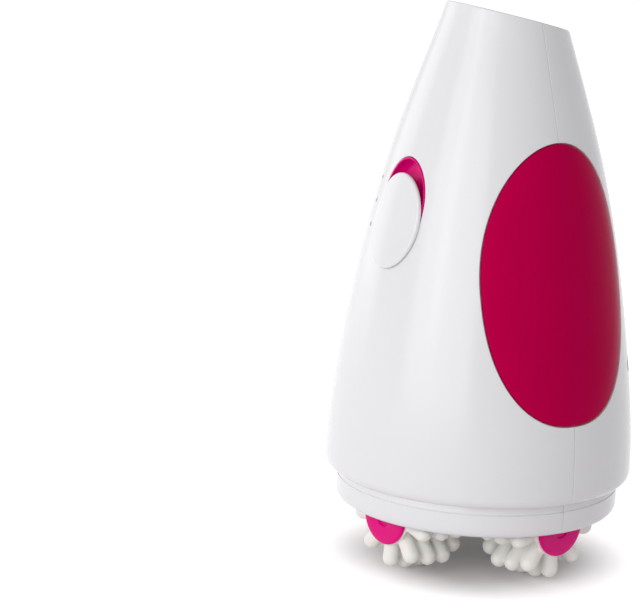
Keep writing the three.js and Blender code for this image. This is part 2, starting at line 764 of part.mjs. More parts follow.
// Motor: fixed can, magnets and end cap, and the turning shaft, armature and pinion
function addMotor() {
  const motor = new THREE.Group();
  motor.position.set(0, motorPlace, 0);
  body.add(motor);
  const inner = motorRadius - motorWall;
  const shaftHole = motorShaftRadius + gap;
  const canFloorTop = motorLevel + motorWall;
  let can = turned([
    [shaftHole, motorLevel - motorNoseHeight],
    [motorNoseRadius, motorLevel - motorNoseHeight],
    [motorNoseRadius, motorLevel],
    [motorRadius, motorLevel],
    [motorRadius, motorTop],
    [inner, motorTop],
    [inner, canFloorTop],
    [shaftHole, canFloorTop],
    [shaftHole, motorLevel - motorNoseHeight],
  ]);
  const screwReach = coverThickness + motorWall;
  const shape = screwShape(screwRadius, screwReach, screwHeadRadius, screwHeadHeight);
  [-motorScrewCircle, motorScrewCircle].forEach((x, index) => {
    can = can.subtract(rod(screwRadius + gap, 0, canFloorTop + overrun, smallSides, move(x, 0, 0)));
    const screw = addPiece(motor, `motor_screw_${index + 1}`, shape, darkSteel);
    screw.position.set(x, 0, coverLevel - gap);
    screw.rotation.x = Math.PI;
  });
  addPiece(motor, 'motor_can', can, steel);

  const capHigh = motorTop - gap;
  const cap = turned([
    [shaftHole, capHigh - motorCapThickness], [inner - gap, capHigh - motorCapThickness],
    [inner - gap, capHigh], [shaftHole, capHigh], [shaftHole, capHigh - motorCapThickness],
  ]);
  addPiece(motor, 'motor_end_cap', cap, blackPlastic);

  const magnetOuter = inner - gap;
  const armatureLow = motorLevel + armatureFoot;
  const armatureHigh = armatureLow + armatureLength;
  for (const [name, side] of sides) {
    const middle = side > 0 ? 0 : Math.PI;
    const start = middle - radians(magnetSpread);
    const end = middle + radians(magnetSpread);
    const arc = new THREE.Shape();
    arc.absarc(0, 0, magnetOuter, start, end, false);
    arc.absarc(0, 0, magnetInner, end, start, true);
    arc.closePath();
    const options = { depth: armatureLength, bevelEnabled: false, curveSegments: magnetSteps };
    const geometry = new THREE.ExtrudeGeometry(arc, options);
    addPiece(motor, `motor_magnet_${name}`, geometry.translate(0, 0, armatureLow), ferrite);
  }

  const commutatorTop = armatureHigh + commutatorLength;
  const armature = turned([
    [shaftHole, armatureLow], [armatureRadius, armatureLow], [armatureRadius, armatureHigh],
    [commutatorRadius, armatureHigh], [commutatorRadius, commutatorTop],
    [shaftHole, commutatorTop], [shaftHole, armatureLow],
  ]);
  addPiece(motor, 'armature', armature, copper);
  addPiece(motor, 'motor_shaft', rod(motorShaftRadius, clusterWheelLevel, capHigh), steel);
  const pinion = gear(pinionTeeth, fineModule, meshTurn, clusterWheelLevel, clusterWheelTop, shaftHole);
  addPiece(motor, 'motor_pinion', pinion, brass);
}

// Roller head: what turns on the output shaft
const headGroup = new THREE.Group();
headGroup.rotation.z = radians(headTurn);
body.add(headGroup);

function quarterTurns(action) {
  for (let index = 0; index < rollerCount; index += 1) {
    const group = new THREE.Group();
    group.rotation.z = 2 * Math.PI * index / rollerCount;
    headGroup.add(group);
    const arm = new THREE.Group();
    arm.rotation.y = Math.PI / 2;
    group.add(arm);
    action(arm, index + 1);
  }
}

function addCarrier() {
  const width = 2 * hubHalfWidth;
  let carrier = rod(carrierRadius, carrierLevel, carrierLevel + carrierThickness, bodySides);
  carrier = carrier.add(block(width, width, -hubDrop, carrierLevel + carrierThickness / 2));
  const collarEnd = hubHalfWidth + hubCollarLength;
  for (let index = 0; index < rollerCount; index += 1) {
    const outward = new THREE.Matrix4().makeRotationZ(2 * Math.PI * index / rollerCount)
      .multiply(new THREE.Matrix4().makeRotationY(Math.PI / 2));
    carrier = carrier.add(rod(hubCollarRadius, axleSeat, collarEnd, smallSides, outward));
    carrier = carrier.subtract(rod(axleRadius + gap, axleSeat - gap, bodyRadius, smallSides, outward));
  }
  carrier = carrier.subtract(rod(outputShaftRadius + gap, outputShaftFoot - gap, bodyHeight));
  carrier = carrier.subtract(rod(screwRadius + gap, -hubDrop - overrun, outputShaftFoot));
  addPiece(headGroup, 'roller_carrier', carrier, white);
}

function addOutputShaft() {
  let shaft = rod(outputShaftRadius, outputShaftFoot, outputShaftTop);
  const pilotTop = outputShaftFoot + shaftScrewReach + gap;
  shaft = shaft.subtract(rod(screwRadius + gap, 0, pilotTop));
  addPiece(headGroup, 'output_shaft', shaft, steel);
  const screwReach = hubDrop + outputShaftFoot + shaftScrewReach;
  const screwPiece = screwShape(screwRadius, screwReach, screwHeadRadius, screwHeadHeight);
  const screw = addPiece(headGroup, 'shaft_screw', screwPiece, darkSteel);
  screw.position.z = -hubDrop - gap;
  screw.rotation.x = Math.PI;

  const bore = outputShaftRadius + gap;
  const turn = -headTurn * wheelTeeth / 360;
  const outputGear = gear(wheelTeeth, coarseModule, turn, outputGearLevel, outputGearTop, bore);
  addPiece(headGroup, 'output_gear', outputGear, nylon);
  const clipFoot = outputGearTop + gap;
  const clipTop = clipFoot + clipThickness;
  const clip = turnedGeometry([
    [bore, clipFoot], [clipRadius, clipFoot], [clipRadius, clipTop], [bore, clipTop], [bore, clipFoot],
  ]);
  addPiece(headGroup, 'gear_clip', clip, darkSteel);
}

// One finger from the hub to its round tip, in a roller whose axis is Z
function finger(rootPlace, tipPlace, reach, angle) {
  const root = new THREE.Vector3(rollerHubRadius * fingerRootShare, 0, rootPlace);
  const tip = new THREE.Vector3(reach - fingerRadius, 0, tipPlace);
  const length = root.distanceTo(tip);
  const bend = fingerRadius * Math.SQRT1_2;
  const shape = turnedGeometry([
    [0, 0], [fingerRootRadius, 0], [fingerRadius, length],
    [bend, length + bend], [0, length + fingerRadius],
  ], fingerSides);
  const along = tip.clone().sub(root).normalize();
  const lean = new THREE.Quaternion().setFromUnitVectors(new THREE.Vector3(0, 0, 1), along);
  const frame = new THREE.Matrix4().makeRotationFromQuaternion(lean).setPosition(root);
  return solid(shape, new THREE.Matrix4().makeRotationZ(angle).multiply(frame));
}

function rollerShape() {
  const rimFoot = rollerOuter - rollerRimThickness;
  const bore = axleRadius + gap;
  let roller = turned([
    [0, rollerInner],
    [rollerHubRadius, rollerInner],
    [rollerHubRadius, rimFoot],
    [rollerRimRadius, rimFoot],
    [rollerRimRadius, rollerOuter],
    [0, rollerOuter],
  ], rollerSides);
  const length = rollerOuter - rollerInner;
  for (const [tipShare, rootShare, reachShare] of ringShares) {
    for (let index = 0; index < fingersPerRing; index += 1) {
      const angle = fingerPitch * index;
      const rootPlace = rollerInner + rootShare * length;
      const tipPlace = rollerInner + tipShare * length;
      roller = roller.add(finger(rootPlace, tipPlace, reachShare * tipRadius, angle));
    }
  }
  roller = roller.subtract(rod(bore, 0, rollerOuter));
  roller = roller.subtract(rod(rollerWellRadius, axleEnd - gap, rollerOuter + overrun));
  return geometryOf(roller);
}

function addRollers() {
  const roller = rollerShape();
  const capFoot = rollerOuter + gap;
  const capEdge = capFoot + rollerCapThickness - rollerCapCrown;
  const capTop = capFoot + rollerCapThickness;
  const capShape = turnedGeometry([
    [0, capFoot], [rollerCapRadius, capFoot], [rollerCapRadius, capEdge],
    [rollerCapRadius - rollerCapCrown, capEdge + rollerCapCrown / 2],
    [rollerDimpleRadius, capTop], [rollerDimpleRadius, capTop - rollerDimpleDepth],
    [0, capTop - rollerDimpleDepth],
  ]);
  const screw = screwShape(screwRadius, axleScrewReach, axleScrewHeadRadius, screwHeadHeight);
  const pilot = rod(screwRadius + gap, axleEnd - axleScrewReach - gap, axleEnd + overrun);
  const axle = geometryOf(rod(axleRadius, axleSeat, axleEnd).subtract(pilot));
  quarterTurns((arm, number) => {
    addPiece(arm, `roller_${number}`, roller, ivory);
    addPiece(arm, `roller_cap_${number}`, capShape, magenta);
    addPiece(arm, `axle_${number}`, axle, steel);
    addPiece(arm, `axle_screw_${number}`, screw, darkSteel).position.z = axleEnd + gap;
  });
}

// Wires held inside the body, each a flat pair drawn as one lead
function addWire(name, points) {
  const ring = Array.from({ length: wireSides }, (_, index) => {
    const angle = 2 * Math.PI * index / wireSides;
    return new THREE.Vector2(wireRadius * Math.cos(angle), wireRadius * Math.sin(angle));
  });
  const extrudePath = new THREE.CatmullRomCurve3(points);
  const options = { steps: wireSteps, extrudePath, bevelEnabled: false };
  addPiece(body, name, new THREE.ExtrudeGeometry(new THREE.Shape(ring), options), wireRed);
}

function addWires() {
  const lead = new THREE.Vector3(0, 0, wireLead);
  const jackFoot = new THREE.Vector3(0, 0, -topCapInset - jackLength - gap);
  const boardBack = new THREE.Vector3(0, 0, -boardLevel - boardThickness - gap);
  const boardHigh = boardBack.clone().setY(boardLength / 2 * wireHighShare);
  const boardLow = boardBack.clone().setY(-boardLength / 2 * wireLowShare);
  const terminal = new THREE.Vector3(0, motorPlace - motorRadius * terminalShare, motorTop);
  addWire('inlet_wires', [
    jackFoot.clone().applyMatrix4(topFrame),
    jackFoot.clone().sub(lead).applyMatrix4(topFrame),
    boardHigh.clone().sub(lead).applyMatrix4(switchFrame),
    boardHigh.clone().applyMatrix4(switchFrame),
  ]);
  addWire('motor_wires', [
    boardLow.clone().applyMatrix4(switchFrame),
    boardLow.clone().sub(lead).applyMatrix4(switchFrame),
    terminal.clone().add(lead),
    terminal,
  ]);
}

addShells();
addGripPads();
addShellScrews();
addTop();
const switchPieces = switchGroup();
addSwitchDish(switchPieces);
addSwitchCap(switchPieces);
addSlideSwitch(switchPieces);
addBoard(switchPieces);
addBay();
addGearbox();
addMotor();
addCarrier();
addOutputShaft();
addRollers();
addWires();

// The body is lifted until its lowest fingers touch the ground
body.position.z = -new THREE.Box3().setFromObject(model, true).min.z;

export default model;
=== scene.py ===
"""Looks of a hand-held massager: a white cone with magenta grips on four kneading rollers.

Sizes are in millimetres from the rim of the neck, as in the CAD source, and meshes in metres.
"""
import json
import math

import bmesh
import bpy
import numpy as np
from mathutils import Matrix, Vector, kdtree


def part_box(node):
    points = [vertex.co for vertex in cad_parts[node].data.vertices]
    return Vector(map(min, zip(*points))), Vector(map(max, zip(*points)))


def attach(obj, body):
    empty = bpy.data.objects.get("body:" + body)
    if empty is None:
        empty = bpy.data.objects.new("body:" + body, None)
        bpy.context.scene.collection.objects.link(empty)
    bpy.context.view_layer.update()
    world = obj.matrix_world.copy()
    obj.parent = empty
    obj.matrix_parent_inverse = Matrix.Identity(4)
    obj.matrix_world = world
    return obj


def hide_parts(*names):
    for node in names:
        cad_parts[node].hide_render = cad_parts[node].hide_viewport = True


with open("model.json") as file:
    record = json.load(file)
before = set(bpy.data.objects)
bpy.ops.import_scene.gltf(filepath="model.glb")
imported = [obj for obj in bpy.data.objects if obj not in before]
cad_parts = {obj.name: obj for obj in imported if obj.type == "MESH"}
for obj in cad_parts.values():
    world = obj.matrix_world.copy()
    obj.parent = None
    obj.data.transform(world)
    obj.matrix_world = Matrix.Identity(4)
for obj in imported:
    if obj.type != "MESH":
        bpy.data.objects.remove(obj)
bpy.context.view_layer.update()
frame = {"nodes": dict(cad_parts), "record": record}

# Units, turns and clearances
MM = 0.001
RIM_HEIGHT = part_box("front_shell")[0].z / MM
TURN = 2 * math.pi
RIGHT_ANGLE = math.pi / 2
GAP = 0.3
OVERRUN = 2

# Body, as in the CAD source. Levels are measured up from the rim of the neck.
BODY_RADIUS = 63
BODY_HEIGHT = 201.7
TOP_SLANT = math.radians(13.9)
WALL = 3
NECK_RADIUS = 58.1
NECK_BORE = 53.6
NECK_CORNER = 3.5
BEVEL_LEVEL = 10
BEVEL_RADIUS = 57.3
SHOULDER_LEVEL = 13.3
SEAT_RADIUS = 58.25
SEAT_GROOVE = 0.6
SHOULDER_RADIUS = 59.3
CORNER_HEIGHT = 4
FLANK_HEIGHT = 204.4
# Shares of the flank's height, and of the body's radius there
FLANK_SHARES = [
    (0, 1), (0.14, 0.9754), (0.316, 0.892), (0.512, 0.7746), (0.7065, 0.603), (0.854, 0.443), (1, 0.306),
]
FLANK_DEGREE = 5
WIDEST_LEVEL = SHOULDER_LEVEL + CORNER_HEIGHT

# Inside of the shells
FLOOR_LEVEL = 15.9
CAVITY_FOOT = 59.6
LEDGE_BORE = 55.5
LEDGE_LOW = 32
LEDGE_HIGH = 34.5
SCREW_PLACES = [(-40, 62), (40, 62), (-21, 166), (21, 166)]
SCREW_BORE = 1.8
SCREW_HEAD_BORE = 3.3
SCREW_REACH = 11.7
SCREW_BORE_REACH = 15
BOSS_RADIUS = 5
BOARD_POSTS = (-26, 26)
BOARD_POST_RADIUS = 3.2
BOARD_POST_BORE = 1.5
BOARD_POST_LOW = -17.5
BOARD_POST_HIGH = -2.2
BOARD_POST_BORE_TOP = -10.8

# Grip pads. The level is where they are widest. The seam is the gap that shows round them.
PAD_LEVEL = 98
PAD_HALF_WIDTH = 35
PAD_RISE = 58
PAD_DROP = 52
PAD_DROP_POWER = 2.4
PAD_THICKNESS = 1.5
PAD_SEAM = 0.22

# Top cap and power inlet
TOP_LIP = 1.6
TOP_CAP_INSET = 0.4
TOP_CAP_THICKNESS = 2.4
JACK_RADIUS = 6.6
JACK_FLANGE_RADIUS = 9
JACK_FLANGE_THICKNESS = 1.6
JACK_BORE = 4.3
JACK_LENGTH = 18
JACK_DEPTH = 12
JACK_PIN_RADIUS = 1
JACK_PIN_HEIGHT = 5

# Switch: an oval cap that slides over an oval dish. Halves are half the width and half the height.
DISH_LEVEL = 126.4
DISH_HALVES = np.array((13.9, 20.75))
DISH_RIM = 0.8
DISH_DEPTH = 5.2
DISH_FLANGE = 1.5
DISH_FLANGE_DEPTH = 6
DISH_FLANGE_THICKNESS = 1.3
SWITCH_TRAVEL = 11
SWITCH_STOPS = 3
CAP_HALVES = np.array((14.3, 19.4))
CAP_PROUD = 1.6
CAP_CLEARANCE = 0.4
STEM_WIDTH = 4.6
STEM_TIP_WIDTH = 3
STEM_DEPTH = 10.2
STEM_TIP_DEPTH = 13.2

# Printed dots beside the switch, one for each of its places
STOP_DOT_PLACE = -20.5
STOP_DOT_LEVELS = (134.6, 125.3, 115.5)
STOP_DOT_RADIUS = 0.9
STOP_DOT_SOFTNESS = 0.2
STOP_DOT_COLOR = (0.05, 0.05, 0.055, 1)

# Roller head: carrier, output shaft and axles
HEAD_TURN = math.radians(6.3)
AXLE_RADIUS = 2.5
AXLE_SEAT = 4.5
CARRIER_RADIUS = 52.6
CARRIER_LEVEL = 25.6
CARRIER_THICKNESS = 2.4
HUB_HALF_WIDTH = 13.5
HUB_DROP = 8
HUB_COLLAR_RADIUS = 5
HUB_COLLAR_END = 14.7
OUTPUT_SHAFT_RADIUS = 4
OUTPUT_SHAFT_FOOT = 8
ROLLER_COUNT = 4

# Screws of the head
SCREW_RADIUS = 1.5
SCREW_HEAD_HEIGHT = 2
SHAFT_SCREW_LENGTH = 26
SHAFT_SCREW_HEAD_RADIUS = 3
AXLE_SCREW_LENGTH = 11
AXLE_SCREW_HEAD_RADIUS = 3.7

# Kneading rollers. Places along a roller are distances out from the axis of the body.
ROLLER_INNER = 15
ROLLER_OUTER = 49.2
HUB_RADIUS = 9.6
ROLLER_RIM_RADIUS = 12.1
ROLLER_RIM_THICKNESS = 1
ROLLER_CAP_RADIUS = 11.7
ROLLER_CAP_THICKNESS = 1.4
DIMPLE_RADIUS = 4
DIMPLE_DEPTH = 0.6
WELL_RADIUS = 5.2
WELL_DEPTH = 4
FINGER_RADIUS = 3.5
FINGER_ROOT_RADIUS = 3
FINGERS_PER_RING = 9
TIP_RADIUS = 24.5
FINGER_ROOT_SHARE = 0.6
# Each ring: place of the tips and of the roots along the roller, and reach of the tips
RING_SHARES = [(0.89, 0.87, 0.9), (0.66, 0.67, 0.98), (0.44, 0.46, 1), (0.22, 0.24, 0.85)]

# Finer forms that only the looks have: rounded edges, the seam's gap, grooves and cross recesses
NECK_CORNER_RUNOUT = 0.01
BEVEL_GROOVE = 0.35
BEVEL_EDGE = 0.3
SEAM_EDGE = 0.35
SEAM_GAP = 0.03
LIP_EDGE = 0.8
POCKET_EDGE = 0.3
POCKET_DRAFT = 0.03
PAD_EDGE = 1.4
PAD_FOOT_EDGE = 0.1
PAD_CROWN = 0.7
PAD_CROWN_INSETS = (1.6, 2.4, 3.4, 4.6, 6, 7.8, 9.8, 12)
JACK_FOOT_EDGE = 0.5
JACK_FLANGE_EDGE = 0.2
JACK_RIM_EDGE = 0.4
JACK_MOUTH_EDGE = 0.6
JACK_PIN_EDGE = 0.4
DISH_EDGE = 0.3
# The dish's rim, rounded over: how far in from its outside, and how far below the body's surface
DISH_RIM_STEPS = ((0, 0.35), (0.1, 0.1), (0.35, 0), (0.55, 0.03), (0.72, 0.15), (0.8, 0.35))
BOWL_FILLET = 4
BOWL_RUNOUT = 0.1
BOWL_STEP = 0.05
CAP_EDGE = 0.8
CARRIER_EDGE = 0.5
HUB_CORNER = 2.5
HUB_EDGE = 1
ROLLER_FOOT_EDGE = 1
ROLLER_ROOT_EDGE = 0.8
ROLLER_RIM_EDGE = 0.4
ROLLER_FACE_EDGE = 0.3
ROLLER_CAP_FOOT_EDGE = 0.2
ROLLER_CAP_EDGE = 0.5
ROLLER_CAP_EDGE_DROP = 0.25
ROLLER_CAP_SLOPE_WIDTH = 1.3
ROLLER_CAP_SLOPE_DROP = 0.05
ROLLER_CAP_SLOPE_EDGE = 0.2
DIMPLE_EDGE = 0.3
SCREW_TIP_EDGE = 0.4
SCREW_NECK_EDGE = 0.2
SCREW_HEAD_EDGE = 0.9
AXLE_SCREW_CROWN = 0.15
SHAFT_SCREW_CROWN = 0.2
# Cross recesses: half the length and half the width of an arm
AXLE_SCREW_CROSS = (2, 0.42)
AXLE_SCREW_CROSS_DEPTH = 1.1
SHAFT_SCREW_CROSS = (1.8, 0.4)
SHAFT_SCREW_CROSS_DEPTH = 1

# Fineness of the meshes
SEGMENTS = 128
ROD_SEGMENTS = 48
JACK_SEGMENTS = 64
ROLLER_SEGMENTS = 96
WELL_SEGMENTS = 64
FINGER_SEGMENTS = 24
UNDERSIDE_SEGMENTS = 256
UNDERSIDE_STEP = 4
CAVITY_STEP = 3
OVAL_POINTS = 120
PAD_POINTS = 220
EDGE_STEPS = 4
SEAM_EDGE_STEPS = 2
LIP_STEPS = 5
SOFT_EDGE_STEPS = 6
BOWL_STEPS = 10
CORNER_STEPS = 16
FLANK_STEPS = 140
COLUMNS = 73
FLANK_ROWS = 64
FINGER_FOOT_STEPS = 6
FINGER_TIP_STEPS = 8
PAD_FILL_SHARES = (0, 0.12, 0.25, 0.4, 0.55, 0.7, 0.85)
CAP_FILL_SHARES = (0.93, 0.85, 0.75, 0.65, 0.52, 0.39, 0.26, 0.13)
ROLLER_VOXEL = 0.45
ROLLER_SOFTENING = 6
# Points nearer than the first, in metres, are one. A known normal holds within the second.
JOIN_DISTANCE = 1e-7
KNOWN_DISTANCE = 0.02
# Edges that bend by more degrees than this stay sharp
CREASE = 35
ROLLER_CREASE = 45
# How often a place is drawn nearer: the top's cut, the body's surface, and the shells' upper edge
TOP_SEARCHES = 40
SWITCH_SEARCHES = 30
EDGE_SEARCHES = 4

# Light, in metres and watts. Each lamp: place, size and power.
LAMPS = {
    "key": ((0.45, -1.55, 0.42), (1.7, 1.3), 14.2),
    "strip": ((0.26, -1.48, 0.55), (0.2, 0.8), 0.9),
    "fill": ((-1.5, -0.5, 0.45), (0.9, 1.0), 3),
}
LAMP_AIM = (0, 0, 0.12)
WHITE = (1, 1, 1, 1)
SKY_STRENGTH = 0.5
# The floor's glow to the camera is painted light. It goes from the first strength to the second between
# these distances, so that a painted shadow lies under the body.
FLOOR_PAINTED_SHADOW_PLACES = (0.03, 0.074)
FLOOR_PAINTED_GLOW = (0.0, 0.66)
# The floor's reach, in millimetres
GROUND_REACH = 6000

# Camera. Its aim, a point of the body's axis, stands at the aim's pixel. Focal length in pixels.
IMAGE_WIDTH, IMAGE_HEIGHT = 640, 613
FOCAL = 2909
SENSOR = 36
CAMERA_PLACE = Vector((916.1, -716.9, 349.1))
CAMERA_AIM = Vector((0, 0, 90))
CAMERA_ROLL = math.radians(3.5)
AIM_PIXEL = (487.8, 286.1)


# Meshes
def to_metres(points):
    """Points above the rim in millimetres, as points above the ground in metres."""
    return (np.asarray(points, float) + (0, 0, RIM_HEIGHT)) * MM


def mesh_object(name, points, faces):
    mesh = bpy.data.meshes.new(name)
    mesh.from_pydata(to_metres(points).tolist(), [], [list(map(int, face)) for face in faces])
    mesh.validate()
    obj = bpy.data.objects.new(name, mesh)
    bpy.context.scene.collection.objects.link(obj)
    return obj


def clean(obj):
    """Joins equal points, drops empty faces and turns all faces outward."""
    work = bmesh.new()
    work.from_mesh(obj.data)
    bmesh.ops.remove_doubles(work, verts=work.verts, dist=JOIN_DISTANCE)
    bmesh.ops.dissolve_degenerate(work, edges=work.edges, dist=JOIN_DISTANCE)
    bmesh.ops.recalc_face_normals(work, faces=work.faces)
    work.to_mesh(obj.data)
    work.free()
    return obj


def loft(name, rings, closed=False):
    """Rings of equal length, joined in turn. The ends are filled, or joined to each other.

    An end ring may be a single point.
    """
    sizes = [len(ring) for ring in rings]
    starts = np.cumsum([0, *sizes[:-1]]).tolist()
    count = max(sizes)
    faces = []
    for low in range(len(rings) if closed else len(rings) - 1):
        high = (low + 1) % len(rings)
        for index in range(count):
            following = (index + 1) % count
            face = [starts[low] + index % sizes[low], starts[low] + following % sizes[low],
                    starts[high] + following % sizes[high], starts[high] + index % sizes[high]]
            faces.append(list(dict.fromkeys(face)))
    if not closed:
        for end, step in ((0, -1), (-1, 1)):
            if sizes[end] > 1:
                faces.append([starts[end] + index for index in range(count)][::step])
    return clean(mesh_object(name, np.concatenate(rings), faces))


def placed(points, matrix):
    return np.array([matrix @ Vector(point) for point in np.asarray(points, float)])


def circle(radius, level, segments=SEGMENTS):
    if radius == 0:
        return np.array([(0, 0, level)], float)
    angles = TURN * np.arange(segments) / segments
    return np.stack([radius * np.cos(angles), radius * np.sin(angles), np.full(segments, level)], 1)


def lathe(name, profile, matrix=Matrix(), segments=SEGMENTS, closed=False):
    """A profile of (radius, level) pairs turned about Z. A closed profile doesn't touch the axis."""
    rings = [placed(circle(radius, level, segments), matrix) for radius, level in profile]
    return loft(name, rings, closed)


def rod(radius, low, high, matrix=Matrix(), segments=ROD_SEGMENTS):
    return lathe("rod", [(radius, low), (radius, high)], matrix, segments)


def rounded(corners, steps=EDGE_STEPS):
    """A path of (radius, level, fillet) corners with its corners rounded."""
    path = []
    for index, (radius, level, fillet) in enumerate(corners):
        corner = np.array((radius, level), float)
        if not fillet:
            path.append((float(radius), float(level)))
            continue
        before = np.array(corners[index - 1][:2], float) - corner
        after = np.array(corners[(index + 1) % len(corners)][:2], float) - corner
        start = corner + fillet * before / np.linalg.norm(before)
        end = corner + fillet * after / np.linalg.norm(after)
        for step in range(steps + 1):
            t = step / steps
            path.append(tuple((1 - t) ** 2 * start + 2 * t * (1 - t) * corner + t ** 2 * end))
    return path


def block(low, high, matrix=Matrix()):
    (x0, y0, z0), (x1, y1, z1) = low, high
    points = [(x, y, z) for z in (z0, z1) for x, y in ((x0, y0), (x1, y0), (x1, y1), (x0, y1))]
    return loft("block", [placed(points[:4], matrix), placed(points[4:], matrix)])


def apply_modifiers(obj):
    """Gives an object the mesh that its modifiers make of it."""
    graph = bpy.context.evaluated_depsgraph_get()
    mesh = bpy.data.meshes.new_from_object(obj.evaluated_get(graph))
    obj.modifiers.clear()
    old = obj.data
    obj.data = mesh
    bpy.data.meshes.remove(old)


def combine(obj, other, operation):
    """Cuts a closed mesh with another one or joins it to it. The other one is used up."""
    modifier = obj.modifiers.new("combine", "BOOLEAN")
    modifier.operation = operation
    modifier.solver = "MANIFOLD"
    modifier.object = other
    apply_modifiers(obj)
    bpy.data.objects.remove(other)


def cut(obj, *others):
    for other in others:
        combine(obj, other, "DIFFERENCE")
    return obj


def join(obj, *others):
    for other in others:
        combine(obj, other, "UNION")
    return obj


def shade(obj, known=None, crease=CREASE):
    """Smooth shading with sharp creases, and exact normals where the surface's own are known."""
    mesh = obj.data
    work = bmesh.new()
    work.from_mesh(mesh)
    for face in work.faces:
        face.smooth = True
    for edge in work.edges:
        edge.smooth = len(edge.link_faces) == 2 and edge.calc_face_angle(0) < math.radians(crease)
    work.to_mesh(mesh)
    work.free()
    if known is None:
        return obj
    normals = np.array([corner.vector for corner in mesh.corner_normals])
    flat = np.array([polygon.normal for polygon in mesh.polygons])
    counts = np.array([polygon.loop_total for polygon in mesh.polygons])
    flat = np.repeat(flat, counts, 0)
    corners = np.zeros(len(mesh.loops), int)
    mesh.loops.foreach_get("vertex_index", corners)
    rim = Vector((0, 0, RIM_HEIGHT))
    exact = np.array([known(vertex.co / MM - rim) for vertex in mesh.vertices])[corners]
    fits = (exact * flat).sum(1) > math.cos(math.radians(crease))
    normals[fits] = exact[fits]
    mesh.normals_split_custom_set(normals.tolist())
    return obj


def piece(obj, name, body, slot, replaced):
    """Names a finished piece, gives it its slot's material and hangs it on its body, in a node's place."""
    obj.name = name
    obj.data.name = name
    obj.data.materials.clear()
    obj.data.materials.append(MATERIALS[slot])
    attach(obj, body)
    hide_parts(replaced)


# Outer surface of the body, as a profile that is turned about Z
def flank_profile():
    """The flank from its widest place up, a smooth curve fitted through the shares."""
    heights, radii = np.array(FLANK_SHARES).T
    powers = np.arange(2, FLANK_DEGREE + 1)
    terms = heights[1:, None] ** powers
    weights = np.linalg.lstsq(terms, radii[1:] - 1, rcond=None)[0]
    share = np.linspace(0, 1, FLANK_STEPS)
    radius = BODY_RADIUS * (1 + (share[:, None] ** powers) @ weights)
    return list(zip(radius, WIDEST_LEVEL + share * FLANK_HEIGHT))


def lower_profile():
    """The neck with its rounded rim, groove and bevel, the seat, and the corner up to the flank."""
    groove_level = BEVEL_LEVEL - BEVEL_GROOVE
    groove_radius = NECK_RADIUS - BEVEL_GROOVE
    neck = rounded([
        (NECK_RADIUS - NECK_CORNER, 0, 0),
        (NECK_RADIUS, 0, NECK_CORNER - NECK_CORNER_RUNOUT),
        (NECK_RADIUS, groove_level, 0),
        (groove_radius, groove_level, 0),
        (groove_radius, BEVEL_LEVEL, 0),
        (NECK_RADIUS, BEVEL_LEVEL, BEVEL_EDGE),
        (BEVEL_RADIUS, SHOULDER_LEVEL + SEAT_GROOVE, 0),
        (SEAT_RADIUS, SHOULDER_LEVEL, 0),
        (SHOULDER_RADIUS, SHOULDER_LEVEL, 0),
    ], SOFT_EDGE_STEPS)
    angles = np.linspace(0, RIGHT_ANGLE, CORNER_STEPS)[1:-1]
    corner = [(SHOULDER_RADIUS + (BODY_RADIUS - SHOULDER_RADIUS) * math.sin(angle),
               WIDEST_LEVEL - CORNER_HEIGHT * math.cos(angle)) for angle in angles]
    return neck + corner


lower_part = lower_profile()
flank_part = flank_profile()
path = np.array(lower_part + flank_part)
PATH_R, PATH_Z = path.T
PATH_V = np.concatenate([[0], np.cumsum(np.hypot(*np.diff(path, axis=0).T))])
FLANK_START = len(lower_part)
FLANK_V = PATH_V[FLANK_START]
steps_r = np.gradient(PATH_R, PATH_V)
steps_z = np.gradient(PATH_Z, PATH_V)
NORMAL_R = steps_z / np.hypot(steps_r, steps_z)
NORMAL_Z = -steps_r / np.hypot(steps_r, steps_z)


def along(values, v):
    """A value of the profile at a place v, which is the length along the profile from the rim."""
    return np.interp(v, PATH_V, values)


def path_at_level(level):
    """The place along the profile at a level of the flank."""
    return np.interp(level, PATH_Z[FLANK_START:], PATH_V[FLANK_START:])


def radius_at(level):
    return along(PATH_R, path_at_level(level))


def on_body(theta, v, depth=0):
    """A point of the surface. Theta is 0 at the front and grows to the right, +X."""
    radius = along(PATH_R, v) - depth * along(NORMAL_R, v)
    level = along(PATH_Z, v) - depth * along(NORMAL_Z, v)
    return np.stack([radius * np.sin(theta), -radius * np.cos(theta), level], -1)


def directions(theta, v):
    """The outward normal, the direction round the body and the direction up along the profile."""
    nr, nz = along(NORMAL_R, v), along(NORMAL_Z, v)
    sine, cosine = np.sin(theta), np.cos(theta)
    normal = np.stack([nr * sine, -nr * cosine, nz], -1)
    around = np.stack([cosine, sine, np.zeros_like(sine)], -1)
    upward = np.stack([-nz * sine, nz * cosine, nr], -1)
    return normal, around, upward


def edge_steps(radius, steps=EDGE_STEPS):
    """Offset, depth and tilt at each step of a rounded edge, from the face to the wall."""
    angles = np.linspace(0, RIGHT_ANGLE, steps + 1)
    return [(radius * (1 - math.sin(angle)), radius * (1 - math.cos(angle)), angle) for angle in angles]


class Normals:
    """Known normals of the points of a surface, and of the flank between them."""

    def __init__(self):
        self.points = []
        self.normals = []

    def add(self, points, normals):
        self.points.extend(np.asarray(points, float).reshape(-1, 3))
        self.normals.extend(np.asarray(normals, float).reshape(-1, 3))

    def finish(self):
        self.tree = kdtree.KDTree(len(self.points))
        for index, point in enumerate(self.points):
            self.tree.insert(point, index)
        self.tree.balance()
        return self

    def __call__(self, point):
        _, index, distance = self.tree.find(point)
        if distance < KNOWN_DISTANCE:
            return self.normals[index]
        theta = math.atan2(point.x, -point.y)
        return directions(np.array(theta), path_at_level(max(point.z, WIDEST_LEVEL)))[0]


# Slanted top
TOP_FRAME = Matrix.Translation((0, 0, BODY_HEIGHT)) @ Matrix.Rotation(-TOP_SLANT, 4, "X")
TOP_NORMAL = np.array(TOP_FRAME.to_3x3() @ Vector((0, 0, 1)))
TOP_MIDDLE = np.array((0, 0, BODY_HEIGHT))


